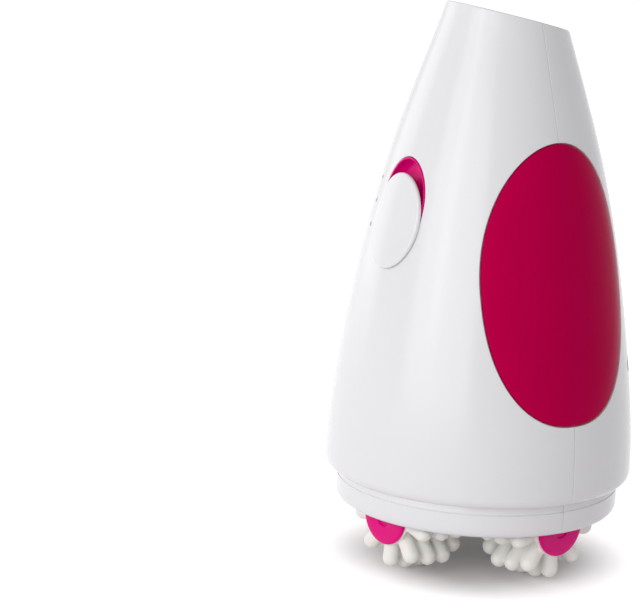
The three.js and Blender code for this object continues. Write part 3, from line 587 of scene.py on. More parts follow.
def top_path(theta, depth=0):
    """The place along the profile where the slanted top cuts it."""
    low = np.full_like(theta, path_at_level(BODY_HEIGHT / 2))
    high = np.full_like(theta, PATH_V[-1])
    for _ in range(TOP_SEARCHES):
        middle = (low + high) / 2
        above = (on_body(theta, middle, depth) - TOP_MIDDLE) @ TOP_NORMAL > 0
        low, high = np.where(above, low, middle), np.where(above, middle, high)
    return low


def top_edge(inset, depth):
    """The edge of the slanted top, moved inward in its plane and down across it."""
    theta = TURN * np.arange(SEGMENTS) / SEGMENTS
    edge = on_body(theta, top_path(theta))
    inward = TOP_MIDDLE - edge
    inward /= np.linalg.norm(inward, axis=-1, keepdims=True)
    return edge + inset * inward - depth * TOP_NORMAL


def top_profile(profile):
    """Rings of (inset, depth) that follow the top's edge."""
    return [top_edge(inset, depth) for inset, depth in profile]


# Grip pads
def pad_ring(side, offset):
    """Theta, place and outward direction at each point of the outline, moved out by an offset.

    The lower half of the outline is squarer than an ellipse.
    """
    angles = TURN * (np.arange(PAD_POINTS) + 0.5) / PAD_POINTS
    across, up = np.cos(angles), np.sin(angles)
    power = np.where(up >= 0, 1, 2 / PAD_DROP_POWER)
    y = PAD_HALF_WIDTH * np.sign(across) * np.abs(across) ** power
    level = PAD_LEVEL + np.where(up >= 0, PAD_RISE, PAD_DROP) * np.sign(up) * np.abs(up) ** power
    radius = radius_at(level)
    theta = np.arctan2(np.sqrt(radius ** 2 - y ** 2), -y)
    v = path_at_level(level)
    step_t = (np.roll(theta, -1) - np.roll(theta, 1)) * radius
    step_v = np.roll(v, -1) - np.roll(v, 1)
    size = np.hypot(step_t, step_v)
    out_t, out_v = -step_v / size, step_t / size
    wrong = (out_t * (theta - RIGHT_ANGLE) * radius + out_v * (v - path_at_level(PAD_LEVEL))).sum() < 0
    if wrong:
        out_t, out_v = -out_t, -out_v
    return side * (theta + offset * out_t / radius), v + offset * out_v, side * out_t, out_v


def pad_points(side, offset, depth, share=1):
    """A ring of the pad's outline, drawn in to a share of its size."""
    theta, v, _, _ = pad_ring(side, offset)
    middle_t, middle_v = side * RIGHT_ANGLE, path_at_level(PAD_LEVEL)
    theta, v = middle_t + share * (theta - middle_t), middle_v + share * (v - middle_v)
    if share == 0:
        return on_body(theta[:1], v[:1], depth)
    return on_body(theta, v, depth)


def pad_pocket(side, known):
    """What is cut out of the shells for a pad, with a rounded edge."""
    outside = PAD_SEAM + POCKET_EDGE
    bottom = PAD_THICKNESS + GAP
    rings = [pad_points(side, outside, -OVERRUN, share) for share in PAD_FILL_SHARES]
    rings.append(pad_points(side, outside, -OVERRUN))
    for offset, depth, tilt in edge_steps(POCKET_EDGE):
        theta, v, out_t, out_v = pad_ring(side, PAD_SEAM + offset)
        normal, around, upward = directions(theta, v)
        outward = out_t[:, None] * around + out_v[:, None] * upward
        points = on_body(theta, v, depth)
        known.add(points, math.cos(tilt) * normal - math.sin(tilt) * outward)
        rings.append(points)
    rings.append(pad_points(side, PAD_SEAM - POCKET_DRAFT, bottom))
    rings += [pad_points(side, 0, bottom, share) for share in PAD_FILL_SHARES[::-1]]
    return loft("pocket", rings)


def grip_pad(side):
    """A pad that follows the body and swells a little towards its middle."""
    rings = [pad_points(side, 0, PAD_THICKNESS, share) for share in PAD_FILL_SHARES]
    rings.append(pad_points(side, -PAD_FOOT_EDGE, PAD_THICKNESS))
    rings.append(pad_points(side, 0, PAD_THICKNESS - PAD_FOOT_EDGE))
    for offset, depth, _ in edge_steps(PAD_EDGE, SOFT_EDGE_STEPS)[::-1]:
        rings.append(pad_points(side, -offset, depth))
    crown_width = PAD_CROWN_INSETS[-1]
    for inset in PAD_CROWN_INSETS:
        share = (inset - PAD_EDGE) / (crown_width - PAD_EDGE)
        rings.append(pad_points(side, -inset, -PAD_CROWN * (1 - (1 - share) ** 2)))
    rings += [pad_points(side, -crown_width, -PAD_CROWN, share) for share in PAD_FILL_SHARES[::-1]]
    return shade(loft("pad", rings))


# Switch frame: +Z looks out of the flank and +Y runs up along it
dish_reach = DISH_HALVES[1]
narrowing = radius_at(DISH_LEVEL - dish_reach) - radius_at(DISH_LEVEL + dish_reach)
SWITCH_SLOPE = math.atan(narrowing / (2 * dish_reach))
SWITCH_FRAME = (Matrix.Translation((0, -radius_at(DISH_LEVEL), DISH_LEVEL))
                @ Matrix.Rotation(RIGHT_ANGLE - SWITCH_SLOPE, 4, "X"))
SWITCH_REST = SWITCH_FRAME @ Matrix.Translation((0, -SWITCH_TRAVEL / 2, 0))
SWITCH_OUTWARD = np.array(SWITCH_FRAME.to_3x3() @ Vector((0, 0, 1)))


def surface_over_switch(x, y):
    """Height of the body's surface over the switch frame's plane, and the surface's normal there."""
    start = radius_at(DISH_LEVEL)
    level = DISH_LEVEL + y * math.cos(SWITCH_SLOPE)
    for _ in range(SWITCH_SEARCHES):
        front = -np.sqrt(radius_at(level) ** 2 - x ** 2)
        level = DISH_LEVEL + (y - (front + start) * math.sin(SWITCH_SLOPE)) / math.cos(SWITCH_SLOPE)
    front = -np.sqrt(radius_at(level) ** 2 - x ** 2)
    theta, v = np.arctan2(x, -front), path_at_level(level)
    height = placed(on_body(theta, v), SWITCH_FRAME.inverted())[:, 2]
    return height, directions(theta, v)[0]


def oval(halves):
    """Points of an oval in the switch frame's plane."""
    angles = TURN * np.arange(OVAL_POINTS) / OVAL_POINTS
    return np.stack([np.cos(angles), np.sin(angles)], 1) * halves


def switch_ring(halves, height, on_surface=False, middle=0):
    """An oval ring in the switch frame, at a height over its plane or over the body's surface."""
    x, y = oval(halves).T
    y = y + middle
    if on_surface:
        base, normal = surface_over_switch(x, y)
        height = base + height / (normal @ SWITCH_OUTWARD)
    return placed(np.stack([x, y, np.broadcast_to(height, x.shape)], 1), SWITCH_FRAME)


def dish_opening(known):
    """What is cut out of the front shell for the dish, with a rounded edge."""
    rings = [switch_ring(DISH_HALVES + DISH_EDGE, OVERRUN, True)]
    for offset, depth, tilt in edge_steps(DISH_EDGE):
        places = oval(DISH_HALVES + offset)
        outward = places / np.square(DISH_HALVES + offset)
        outward /= np.linalg.norm(outward, axis=1, keepdims=True)
        inward = np.pad(-outward, ((0, 0), (0, 1))) @ np.array(SWITCH_FRAME.to_3x3()).T
        _, normal = surface_over_switch(*places.T)
        points = switch_ring(DISH_HALVES + offset, -depth, True)
        known.add(points, math.cos(tilt) * normal + math.sin(tilt) * inward)
        rings.append(points)
    rings.append(switch_ring(DISH_HALVES, -DISH_FLANGE_DEPTH - OVERRUN))
    return loft("opening", rings)


# Shells
def shell_half(side, known):
    """The outer form of the front half, side -1, or of the rear half, side 1, as a closed solid."""
    edges = edge_steps(SEAM_EDGE, SEAM_EDGE_STEPS)
    columns = [(-1, *step) for step in edges[::-1]]
    columns += [(share, 0, 0, 0) for share in np.linspace(-1, 1, COLUMNS)[1:-1]]
    columns += [(1, *step) for step in edges]
    share, offset, depth, tilt = np.array(columns).T

    def thetas(v):
        reach = along(PATH_R, v)
        seam = RIGHT_ANGLE - np.arcsin(SEAM_GAP / 2 / (reach - depth * along(NORMAL_R, v)))
        inner = share * (seam - SEAM_EDGE / reach)
        theta = np.where(np.abs(share) < 1, inner, share * (seam - offset / reach))
        return theta if side < 0 else math.pi - theta

    top = np.full(len(share), path_at_level(BODY_HEIGHT))
    for _ in range(EDGE_SEARCHES):
        top = top_path(thetas(top), depth)
    rows = [np.full(len(share), v) for v in PATH_V[:FLANK_START]]
    rows += [FLANK_V + climb * (top - LIP_EDGE - FLANK_V) for climb in np.linspace(0, 1, FLANK_ROWS)]
    rings = []
    around_sign = np.sign(share) * (1 if side < 0 else -1)
    for v in rows:
        theta = thetas(v)
        normal, around, _ = directions(theta, v)
        points = on_body(theta, v, depth)
        known.add(points, np.cos(tilt)[:, None] * normal + (np.sin(tilt) * around_sign)[:, None] * around)
        rings.append(points)
    # The upper edge is rounded over on to the slanted top
    last = rings[-1]
    corner = on_body(thetas(top), top, depth)
    middle = np.array((0, side * SEAM_GAP / 2, BODY_HEIGHT - side * SEAM_GAP / 2 * math.tan(TOP_SLANT)))
    inward = middle - corner
    inward /= np.linalg.norm(inward, axis=1, keepdims=True)
    end = corner + LIP_EDGE * inward
    flank_normal = directions(thetas(top), top)[0]
    for step in range(1, LIP_STEPS + 1):
        t = step / LIP_STEPS
        points = (1 - t) ** 2 * last + 2 * t * (1 - t) * corner + t ** 2 * end
        mixed = (1 - t) * flank_normal + t * TOP_NORMAL
        known.add(points, mixed / np.linalg.norm(mixed, axis=1, keepdims=True))
        rings.append(points)
    # Faces between the rings, then the lower end, the upper end, and the flat side at the seam
    grid = np.arange(len(rings) * len(share)).reshape(len(rings), len(share))
    faces = [*np.stack([grid[:-1, :-1], grid[:-1, 1:], grid[1:, 1:], grid[1:, :-1]], -1).reshape(-1, 4)]
    faces += [grid[0], grid[-1], [*grid[:, 0], *grid[::-1, -1]]]
    return clean(mesh_object("half", np.concatenate(rings), faces))


def along_y(x, level):
    """A frame whose +Z runs along +Y."""
    return Matrix.Translation((x, 0, level)) @ Matrix.Rotation(-RIGHT_ANGLE, 4, "X")


def flank_at(height, step):
    """Pairs of (radius, level) at a height over the flank, at every so many of its places."""
    return [(along(PATH_R, v) + height * along(NORMAL_R, v), along(PATH_Z, v) + height * along(NORMAL_Z, v))
            for v in PATH_V[FLANK_START::step]]


def cavity():
    """The hollow of the two shells, less the ledge for the roller bay and the screw bosses."""
    flank = flank_at(-WALL, CAVITY_STEP)
    profile = [(0, -OVERRUN), (NECK_BORE, -OVERRUN), (NECK_BORE, FLOOR_LEVEL), (CAVITY_FOOT, FLOOR_LEVEL)]
    space = lathe("cavity", profile + flank + [(0, flank[-1][1])])
    ledge = lathe("ledge", [(LEDGE_BORE, LEDGE_LOW), (BODY_RADIUS, LEDGE_LOW), (BODY_RADIUS, LEDGE_HIGH),
                            (LEDGE_BORE, LEDGE_HIGH)], closed=True)
    cut(space, ledge)
    for x, level in SCREW_PLACES:
        cut(space, rod(BOSS_RADIUS, -BODY_RADIUS, BODY_RADIUS, along_y(x, level)))
    return space


def top_recess():
    """What is cut out of the shells for the top cap."""
    flare = [(TOP_LIP - GAP + GAP * math.sin(a), GAP * (1 - math.cos(a)))
             for a in np.linspace(0, RIGHT_ANGLE, EDGE_STEPS)]
    bottom = TOP_CAP_INSET + TOP_CAP_THICKNESS + GAP
    return loft("recess", top_profile([(TOP_LIP - GAP, -OVERRUN), *flare, (TOP_LIP, bottom)]))


def shell(side):
    """The front shell, side -1, or the rear shell, side 1."""
    known = Normals()
    half = shell_half(side, known)
    pockets = [pad_pocket(way, known) for way in (-1, 1)]
    if side < 0:
        cut(half, dish_opening(known))
    cut(half, *pockets, top_recess(), cavity())
    for x, level in SCREW_PLACES:
        if side < 0:
            cut(half, rod(SCREW_BORE, -SCREW_BORE_REACH, OVERRUN, along_y(x, level)))
        else:
            cut(half, rod(SCREW_BORE, -OVERRUN, BODY_RADIUS, along_y(x, level)),
                rod(SCREW_HEAD_BORE, SCREW_REACH, BODY_RADIUS, along_y(x, level)))
    if side < 0:
        for place in BOARD_POSTS:
            at_post = SWITCH_FRAME @ Matrix.Translation((0, place, 0))
            join(half, rod(BOARD_POST_RADIUS, BOARD_POST_LOW, BOARD_POST_HIGH, at_post))
            cut(half, rod(BOARD_POST_BORE, BOARD_POST_LOW - OVERRUN, BOARD_POST_BORE_TOP, at_post))
    return shade(half, known.finish())


# Top cap, power inlet and switch
def top_cap():
    """The lid in the slanted top, with a hole for the inlet."""
    low = TOP_CAP_INSET + TOP_CAP_THICKNESS
    side = TOP_LIP + GAP
    edge = [(side + GAP * (1 - math.cos(a)), TOP_CAP_INSET + GAP * (1 - math.sin(a)))
            for a in np.linspace(0, RIGHT_ANGLE, EDGE_STEPS)]
    cap = loft("cap", top_profile([(side, low), *edge]))
    hole = rounded([
        (JACK_RADIUS + GAP, -low - OVERRUN, 0),
        (JACK_RADIUS + GAP, -TOP_CAP_INSET, GAP),
        (JACK_RADIUS + OVERRUN, -TOP_CAP_INSET, 0),
        (JACK_RADIUS + OVERRUN, OVERRUN, 0),
    ])
    return shade(cut(cap, lathe("hole", hole, TOP_FRAME)))


def power_jack():
    """The inlet: a round socket with a pin, and a flange that lies under the top cap."""
    top = -TOP_CAP_INSET
    flange_top = -TOP_CAP_INSET - TOP_CAP_THICKNESS - GAP
    flange_foot = flange_top - JACK_FLANGE_THICKNESS
    floor = top - JACK_DEPTH
    pin_top = floor + JACK_PIN_HEIGHT
    profile = rounded([
        (0, top - JACK_LENGTH, 0),
        (JACK_RADIUS, top - JACK_LENGTH, JACK_FOOT_EDGE),
        (JACK_RADIUS, flange_foot, 0),
        (JACK_FLANGE_RADIUS, flange_foot, JACK_FLANGE_EDGE),
        (JACK_FLANGE_RADIUS, flange_top, JACK_FLANGE_EDGE),
        (JACK_RADIUS, flange_top, 0),
        (JACK_RADIUS, top, JACK_RIM_EDGE),
        (JACK_BORE, top, JACK_MOUTH_EDGE),
        (JACK_BORE, floor, 0),
        (JACK_PIN_RADIUS, floor, 0),
        (JACK_PIN_RADIUS, pin_top, JACK_PIN_EDGE),
        (0, pin_top, 0),
    ])
    return shade(lathe("jack", profile, TOP_FRAME, JACK_SEGMENTS))


def switch_dish():
    """The oval bowl under the switch cap, with a slot for the cap's stem."""
    outside = DISH_HALVES - GAP
    inside = outside - DISH_RIM
    flange = outside + DISH_FLANGE
    foot = -DISH_FLANGE_DEPTH - DISH_FLANGE_THICKNESS
    rings = [
        placed([(0, 0, foot)], SWITCH_FRAME),
        switch_ring(flange, foot),
        switch_ring(flange, -DISH_FLANGE_DEPTH),
        switch_ring(outside, -DISH_FLANGE_DEPTH),
    ]
    for inset, drop in DISH_RIM_STEPS:
        rings.append(switch_ring(outside - inset, -drop, True))
    # The bowl's wall runs out into its floor on a fillet as high as the wall allows
    rim_height = surface_over_switch(*oval(inside).T)[0] - DISH_RIM_STEPS[-1][1]
    fillet = np.minimum(rim_height + DISH_DEPTH - BOWL_RUNOUT, BOWL_FILLET)
    for angle in np.linspace(0, RIGHT_ANGLE, BOWL_STEPS):
        height = -DISH_DEPTH + fillet * (1 - math.sin(angle))
        rings.append(switch_ring(inside - BOWL_FILLET * (1 - math.cos(angle)) - BOWL_STEP, height))
    rings.append(switch_ring((inside - BOWL_FILLET) / 2, -DISH_DEPTH))
    rings.append(placed([(0, 0, -DISH_DEPTH)], SWITCH_FRAME))
    half_width = STEM_WIDTH / 2 + GAP
    half_length = half_width + SWITCH_TRAVEL / 2
    slot = block((-half_width, -half_length, foot - OVERRUN), (half_width, half_length, 0), SWITCH_FRAME)
    return shade(cut(loft("dish", rings), slot))


def switch_cap():
    """The cap follows the body's surface, above it by an even height."""
    middle = -SWITCH_TRAVEL / 2
    rings = [switch_ring(CAP_HALVES, -DISH_DEPTH, middle=middle)]
    for offset, depth, _ in edge_steps(CAP_EDGE, SOFT_EDGE_STEPS)[::-1]:
        rings.append(switch_ring(CAP_HALVES - offset, CAP_PROUD - depth, True, middle))
    for share in CAP_FILL_SHARES:
        rings.append(switch_ring(CAP_HALVES * share, CAP_PROUD, True, middle))
    rings.append(switch_ring(CAP_HALVES * 0, CAP_PROUD, True, middle)[:1])
    cap = loft("switch", rings)
    # Its underside is clear of the body at every stop
    surface = flank_at(CAP_CLEARANCE, UNDERSIDE_STEP)
    under = [(0, surface[0][1]), *surface, (0, surface[-1][1])]
    up = SWITCH_FRAME.to_3x3() @ Vector((0, 1, 0))
    for stop in range(SWITCH_STOPS):
        shift = Matrix.Translation(-up * SWITCH_TRAVEL * stop / (SWITCH_STOPS - 1))
        cut(cap, lathe("under", under, shift, UNDERSIDE_SEGMENTS))
    half, tip = STEM_WIDTH / 2, STEM_TIP_WIDTH / 2
    stem_top = (CAP_PROUD + CAP_CLEARANCE) / 2
    join(cap, block((-half, -half, -STEM_DEPTH), (half, half, stem_top), SWITCH_REST))
    join(cap, block((-tip, -tip, -STEM_TIP_DEPTH), (tip, tip, -DISH_DEPTH), SWITCH_REST))
    return shade(cap)


# Roller head
def capsule(root_radius, tip_radius, length):
    """The profile of a rod along +Z with a ball at each end."""
    foot = [(root_radius * math.sin(a), -root_radius * math.cos(a))
            for a in np.linspace(0, RIGHT_ANGLE, FINGER_FOOT_STEPS)]
    tip = [(tip_radius * math.cos(a), length + tip_radius * math.sin(a))
           for a in np.linspace(0, RIGHT_ANGLE, FINGER_TIP_STEPS)]
    foot[0], tip[-1] = (0, foot[0][1]), (0, tip[-1][1])
    return foot + tip


def finger(root_place, tip_place, reach, angle):
    """A finger with its root in the roller's hub, at an angle round the roller."""
    root = Vector((HUB_RADIUS * FINGER_ROOT_SHARE, 0, root_place))
    tip = Vector((reach - FINGER_RADIUS, 0, tip_place))
    profile = capsule(FINGER_ROOT_RADIUS, FINGER_RADIUS, (tip - root).length)
    lean = Vector((0, 0, 1)).rotation_difference(tip - root).to_matrix().to_4x4()
    place = Matrix.Rotation(angle, 4, "Z") @ Matrix.Translation(root) @ lean
    return lathe("finger", profile, place, FINGER_SEGMENTS)


def melt(obj):
    """Melts joined solids into one skin with soft roots."""
    remesh = obj.modifiers.new("skin", "REMESH")
    remesh.mode = "VOXEL"
    remesh.voxel_size = ROLLER_VOXEL * MM
    remesh.use_smooth_shade = True
    soften = obj.modifiers.new("soften", "SMOOTH")
    soften.iterations = ROLLER_SOFTENING
    apply_modifiers(obj)


def roller_form():
    """One roller along +Z, from the axis of the body outward."""
    rim = ROLLER_OUTER - ROLLER_RIM_THICKNESS
    core = lathe("roller", rounded([
        (0, ROLLER_INNER, 0),
        (HUB_RADIUS, ROLLER_INNER, ROLLER_FOOT_EDGE),
        (HUB_RADIUS, rim, ROLLER_ROOT_EDGE),
        (ROLLER_RIM_RADIUS, rim, ROLLER_RIM_EDGE),
        (ROLLER_RIM_RADIUS, ROLLER_OUTER, ROLLER_FACE_EDGE),
        (0, ROLLER_OUTER, 0),
    ]), segments=ROLLER_SEGMENTS)
    pitch = TURN / FINGERS_PER_RING
    length = ROLLER_OUTER - ROLLER_INNER
    for tip_share, root_share, reach_share in RING_SHARES:
        for index in range(FINGERS_PER_RING):
            join(core, finger(ROLLER_INNER + root_share * length, ROLLER_INNER + tip_share * length,
                              reach_share * TIP_RADIUS, pitch * index))
    melt(core)
    # The bores are cut after the softening, so that their edges stay sharp
    cut(core, rod(AXLE_RADIUS + GAP, 0, ROLLER_OUTER + OVERRUN),
        rod(WELL_RADIUS, ROLLER_OUTER - WELL_DEPTH - GAP, ROLLER_OUTER + OVERRUN, segments=WELL_SEGMENTS))
    return shade(core, crease=ROLLER_CREASE)


def roller_cap_form():
    """The blind cap on a roller's outer end, with a shallow dimple in its middle."""
    foot = ROLLER_OUTER + GAP
    top = foot + ROLLER_CAP_THICKNESS
    return shade(lathe("cap", rounded([
        (0, foot, 0),
        (ROLLER_CAP_RADIUS, foot, ROLLER_CAP_FOOT_EDGE),
        (ROLLER_CAP_RADIUS, top - ROLLER_CAP_EDGE_DROP, ROLLER_CAP_EDGE),
        (ROLLER_CAP_RADIUS - ROLLER_CAP_SLOPE_WIDTH, top - ROLLER_CAP_SLOPE_DROP, ROLLER_CAP_SLOPE_EDGE),
        (DIMPLE_RADIUS + DIMPLE_EDGE, top, DIMPLE_EDGE),
        (DIMPLE_RADIUS - DIMPLE_EDGE, top - DIMPLE_DEPTH, DIMPLE_EDGE),
        (0, top - DIMPLE_DEPTH, 0),
    ]), segments=ROLLER_SEGMENTS))


def cut_cross(screw, halves, low, high, turn=0):
    """Cuts a cross recess into a screw's head."""
    x, y = halves
    for arm in (0, RIGHT_ANGLE):
        cut(screw, block((-x, -y, low), (x, y, high), Matrix.Rotation(arm + turn, 4, "Z")))


def axle_screw_form():
    """The screw that ends an axle, with a cross recess in its head."""
    low = ROLLER_OUTER - WELL_DEPTH + GAP
    top = low + SCREW_HEAD_HEIGHT
    screw = lathe("screw", rounded([
        (0, low - AXLE_SCREW_LENGTH, 0),
        (SCREW_RADIUS, low - AXLE_SCREW_LENGTH, SCREW_TIP_EDGE),
        (SCREW_RADIUS, low, 0),
        (AXLE_SCREW_HEAD_RADIUS, low, SCREW_NECK_EDGE),
        (AXLE_SCREW_HEAD_RADIUS, top, SCREW_HEAD_EDGE),
        (0, top + AXLE_SCREW_CROWN, 0),
    ]), segments=ROD_SEGMENTS)
    cut_cross(screw, AXLE_SCREW_CROSS, top - AXLE_SCREW_CROSS_DEPTH, top + OVERRUN)
    return shade(screw)


def square_ring(half, corner, level):
    """A square ring with rounded corners."""
    angles = np.linspace(0, RIGHT_ANGLE, SOFT_EDGE_STEPS)
    points = []
    for quarter in range(4):
        turn = quarter * RIGHT_ANGLE
        middle = (half - corner) * math.sqrt(2)
        x, y = middle * math.cos(turn + RIGHT_ANGLE / 2), middle * math.sin(turn + RIGHT_ANGLE / 2)
        points += [(x + corner * math.cos(turn + angle), y + corner * math.sin(turn + angle), level)
                   for angle in angles]
    return np.array(points)


def carrier():
    """The turning plate, with the hub that holds the four axles."""
    top = CARRIER_LEVEL + CARRIER_THICKNESS
    head = Matrix.Rotation(HEAD_TURN, 4, "Z")
    plate = lathe("carrier", rounded([
        (0, CARRIER_LEVEL, 0),
        (CARRIER_RADIUS, CARRIER_LEVEL, CARRIER_EDGE),
        (CARRIER_RADIUS, top, CARRIER_EDGE),
        (0, top, 0),
    ]))
    rings = [square_ring(HUB_HALF_WIDTH - offset, HUB_CORNER - offset, depth - HUB_DROP)
             for offset, depth, _ in edge_steps(HUB_EDGE)]
    rings.append(square_ring(HUB_HALF_WIDTH, HUB_CORNER, CARRIER_LEVEL + CARRIER_THICKNESS / 2))
    join(plate, loft("hub", [placed(ring, head) for ring in rings]))
    for index in range(ROLLER_COUNT):
        join(plate, rod(HUB_COLLAR_RADIUS, AXLE_SEAT, HUB_COLLAR_END, arm_frame(index)))
        cut(plate, rod(AXLE_RADIUS + GAP, AXLE_SEAT - GAP, BODY_RADIUS, arm_frame(index)))
    return shade(cut(plate, rod(OUTPUT_SHAFT_RADIUS + GAP, OUTPUT_SHAFT_FOOT - GAP, BODY_RADIUS),
                     rod(SCREW_BORE, -HUB_DROP - OVERRUN, OUTPUT_SHAFT_FOOT)))


def shaft_screw():
    """The screw under the hub, head down, with a cross recess."""
    low = -HUB_DROP - GAP
    foot = low - SCREW_HEAD_HEIGHT
    screw = lathe("screw", rounded([
        (0, foot - SHAFT_SCREW_CROWN, 0),
        (SHAFT_SCREW_HEAD_RADIUS, foot, SCREW_HEAD_EDGE),
        (SHAFT_SCREW_HEAD_RADIUS, low, SCREW_NECK_EDGE),
        (SCREW_RADIUS, low, 0),
        (SCREW_RADIUS, low + SHAFT_SCREW_LENGTH, SCREW_TIP_EDGE),
        (0, low + SHAFT_SCREW_LENGTH, 0),
    ]), segments=ROD_SEGMENTS)
    cut_cross(screw, SHAFT_SCREW_CROSS, foot - OVERRUN, foot + SHAFT_SCREW_CROSS_DEPTH, HEAD_TURN)
    return shade(screw)


def arm_frame(index):
    """A frame whose +Z runs out along an arm of the head."""
    turn = HEAD_TURN + TURN * index / ROLLER_COUNT
    return Matrix.Rotation(turn, 4, "Z") @ Matrix.Rotation(RIGHT_ANGLE, 4, "Y")


def four_copies(form, name, body, slot, replaced):
    """Puts a form made along +Z on each arm of the head. Braces stand for the arm's number."""
    lift = Matrix.Translation((0, 0, RIM_HEIGHT * MM))
    for index in range(ROLLER_COUNT):
        copy = form.copy()
        copy.data = form.data.copy()
        bpy.context.scene.collection.objects.link(copy)
        copy.data.transform(lift @ arm_frame(index) @ lift.inverted())
        number = index + 1
        piece(copy, f"{name}_{number}", body.format(number), slot, replaced.format(number))
    bpy.data.objects.remove(form)


# Materials. All patterns sit in the piece's own coordinates.
BROAD_DETAIL = 3
FINE_DETAIL = 4
NOISE_RANGE = (0.3, 0.7)
RELIEF_SHARE = 0.25
METAL = {"Metallic": 1}
PINK = (1, 0.1, 0.5, 1)
PINK_GLOSS = {"Specular Tint": PINK, "Specular IOR Level": 0.35}
PINK_SATIN = {"Specular Tint": PINK, "Specular IOR Level": 0.03}
# Each finish: colour, its variation and patches, range of roughness, grain, relief, other settings
FINISHES = {
    "white_plastic": ((0.80, 0.80, 0.82), 0.012, 0.05, (0.16, 0.24), 0.0008, 0.04, {}),
    "magenta_plastic": ((0.76, 0, 0.2), 0.05, 0.02, (0.18, 0.28), 0.0006, 0.05, PINK_GLOSS),
    "magenta_grip": ((0.5, 0, 0.062), 0.05, 0.03, (0.28, 0.36), 0.0004, 0.12, PINK_SATIN),
    "ivory_plastic": ((0.9, 0.895, 0.85), 0.02, 0.01, (0.38, 0.5), 0.0007, 0.08, {}),
    "inner_white": ((0.74, 0.74, 0.76), 0.02, 0.03, (0.4, 0.52), 0.0006, 0.08, {}),
    "dark_screws": ((0.09, 0.095, 0.1), 0.2, 0.002, (0.3, 0.5), 0.0002, 0.2, METAL),
    "steel": ((0.48, 0.5, 0.52), 0.08, 0.004, (0.22, 0.38), 0.0002, 0.15, METAL),
    "bronze": ((0.46, 0.29, 0.07), 0.12, 0.003, (0.3, 0.45), 0.0002, 0.15, METAL),
    "gear_nylon": ((0.71, 0.69, 0.58), 0.04, 0.004, (0.4, 0.55), 0.0004, 0.1, {}),
    "black_plastic": ((0.012, 0.012, 0.013), 0.3, 0.004, (0.35, 0.5), 0.0003, 0.15, {}),
    "board": ((0.014, 0.105, 0.036), 0.2, 0.003, (0.3, 0.5), 0.0004, 0.15, {}),
    "copper": ((0.39, 0.12, 0.042), 0.2, 0.001, (0.25, 0.45), 0.0003, 0.5, METAL),
    "ferrite": ((0.025, 0.025, 0.03), 0.3, 0.002, (0.6, 0.8), 0.0003, 0.3, {}),
    "wire_sleeve": ((0.33, 0.017, 0.014), 0.1, 0.003, (0.45, 0.6), 0.0003, 0.1, {}),
}
# The paper's faint pink tint is painted reflection: it stands in for the magenta light that the pieces
# throw into its shadow
PAPER = ((0.93, 0.9, 0.915), 0.004, 0.3, (0.9, 1), 0.002, 0.02, {})


def add_node(tree, kind, inputs=(), **settings):
    """A new shader node. Each input gets a value, or a link from a socket."""
    node = tree.nodes.new("ShaderNode" + kind)
    for name, value in settings.items():
        setattr(node, name, value)
    for name, value in dict(inputs).items():
        if isinstance(value, bpy.types.NodeSocket):
            tree.links.new(value, node.inputs[name])
        else:
            node.inputs[name].default_value = value
    return node


def material(slot, color, variation, patch, roughness, grain, bump, sockets):
    """Moulded or worked matter, with a broad variation of its colour, and a grain in its roughness.

    The grain is also a faint relief. Patch and grain are sizes in metres.
    """
    made = bpy.data.materials.new(slot)
    made.use_nodes = True
    tree = made.node_tree
    shader = tree.nodes["Principled BSDF"]
    for name, value in sockets.items():
        shader.inputs[name].default_value = value
    place = add_node(tree, "TexCoord").outputs["Object"]
    broad = add_node(tree, "TexNoise", {"Vector": place, "Scale": 1 / patch, "Detail": BROAD_DETAIL})
    fine = add_node(tree, "TexNoise", {"Vector": place, "Scale": 1 / grain, "Detail": FINE_DETAIL})
    broad, fine = broad.outputs["Fac"], fine.outputs["Fac"]
    dark, light = ((*[min(share * (1 + change), 1) for share in color], 1)
                   for change in (-variation, variation))
    tint = add_node(tree, "Mix", {"Factor": broad, "A": dark, "B": light}, data_type="RGBA")
    both = add_node(tree, "Mix", {"A": broad, "B": fine})
    gloss = add_node(tree, "MapRange", {
        "Value": both.outputs["Result"], "From Min": NOISE_RANGE[0], "From Max": NOISE_RANGE[1],
        "To Min": roughness[0], "To Max": roughness[1]})
    relief = add_node(tree, "Bump", {"Strength": bump, "Distance": grain * RELIEF_SHARE, "Height": fine})
    tree.links.new(tint.outputs["Result"], shader.inputs["Base Color"])
    tree.links.new(gloss.outputs["Result"], shader.inputs["Roughness"])
    tree.links.new(relief.outputs["Normal"], shader.inputs["Normal"])
    return made


MATERIALS = {slot: material(slot, *finish) for slot, finish in FINISHES.items()}


def print_dots(made):
    """Prints the dots beside the switch over a material."""
    tree = made.node_tree
    color_input = tree.nodes["Principled BSDF"].inputs["Base Color"]
    ground = color_input.links[0].from_socket
    place = add_node(tree, "TexCoord").outputs["Object"]
    for level in STOP_DOT_LEVELS:
        dot = on_body(math.asin(STOP_DOT_PLACE / radius_at(level)), path_at_level(level))
        distance = add_node(tree, "VectorMath", {0: place, 1: to_metres(dot)}, operation="DISTANCE")
        inside = add_node(tree, "MapRange", {
            "Value": distance.outputs["Value"],
            "From Min": STOP_DOT_RADIUS * MM * (1 + STOP_DOT_SOFTNESS),
            "From Max": STOP_DOT_RADIUS * MM * (1 - STOP_DOT_SOFTNESS)})
        ink = add_node(tree, "Mix", {"Factor": inside.outputs["Result"], "A": ground, "B": STOP_DOT_COLOR},
                       data_type="RGBA")
        ground = ink.outputs["Result"]
    tree.links.new(ground, color_input)


print_dots(MATERIALS["white_plastic"])

# Pieces. The nodes of the CAD model get their slots' materials first.
for entry in frame["record"]["subparts"]:
    node = frame["nodes"][entry["node"]]
    node.data.materials.clear()
    node.data.materials.append(MATERIALS[entry["material_slot"]])

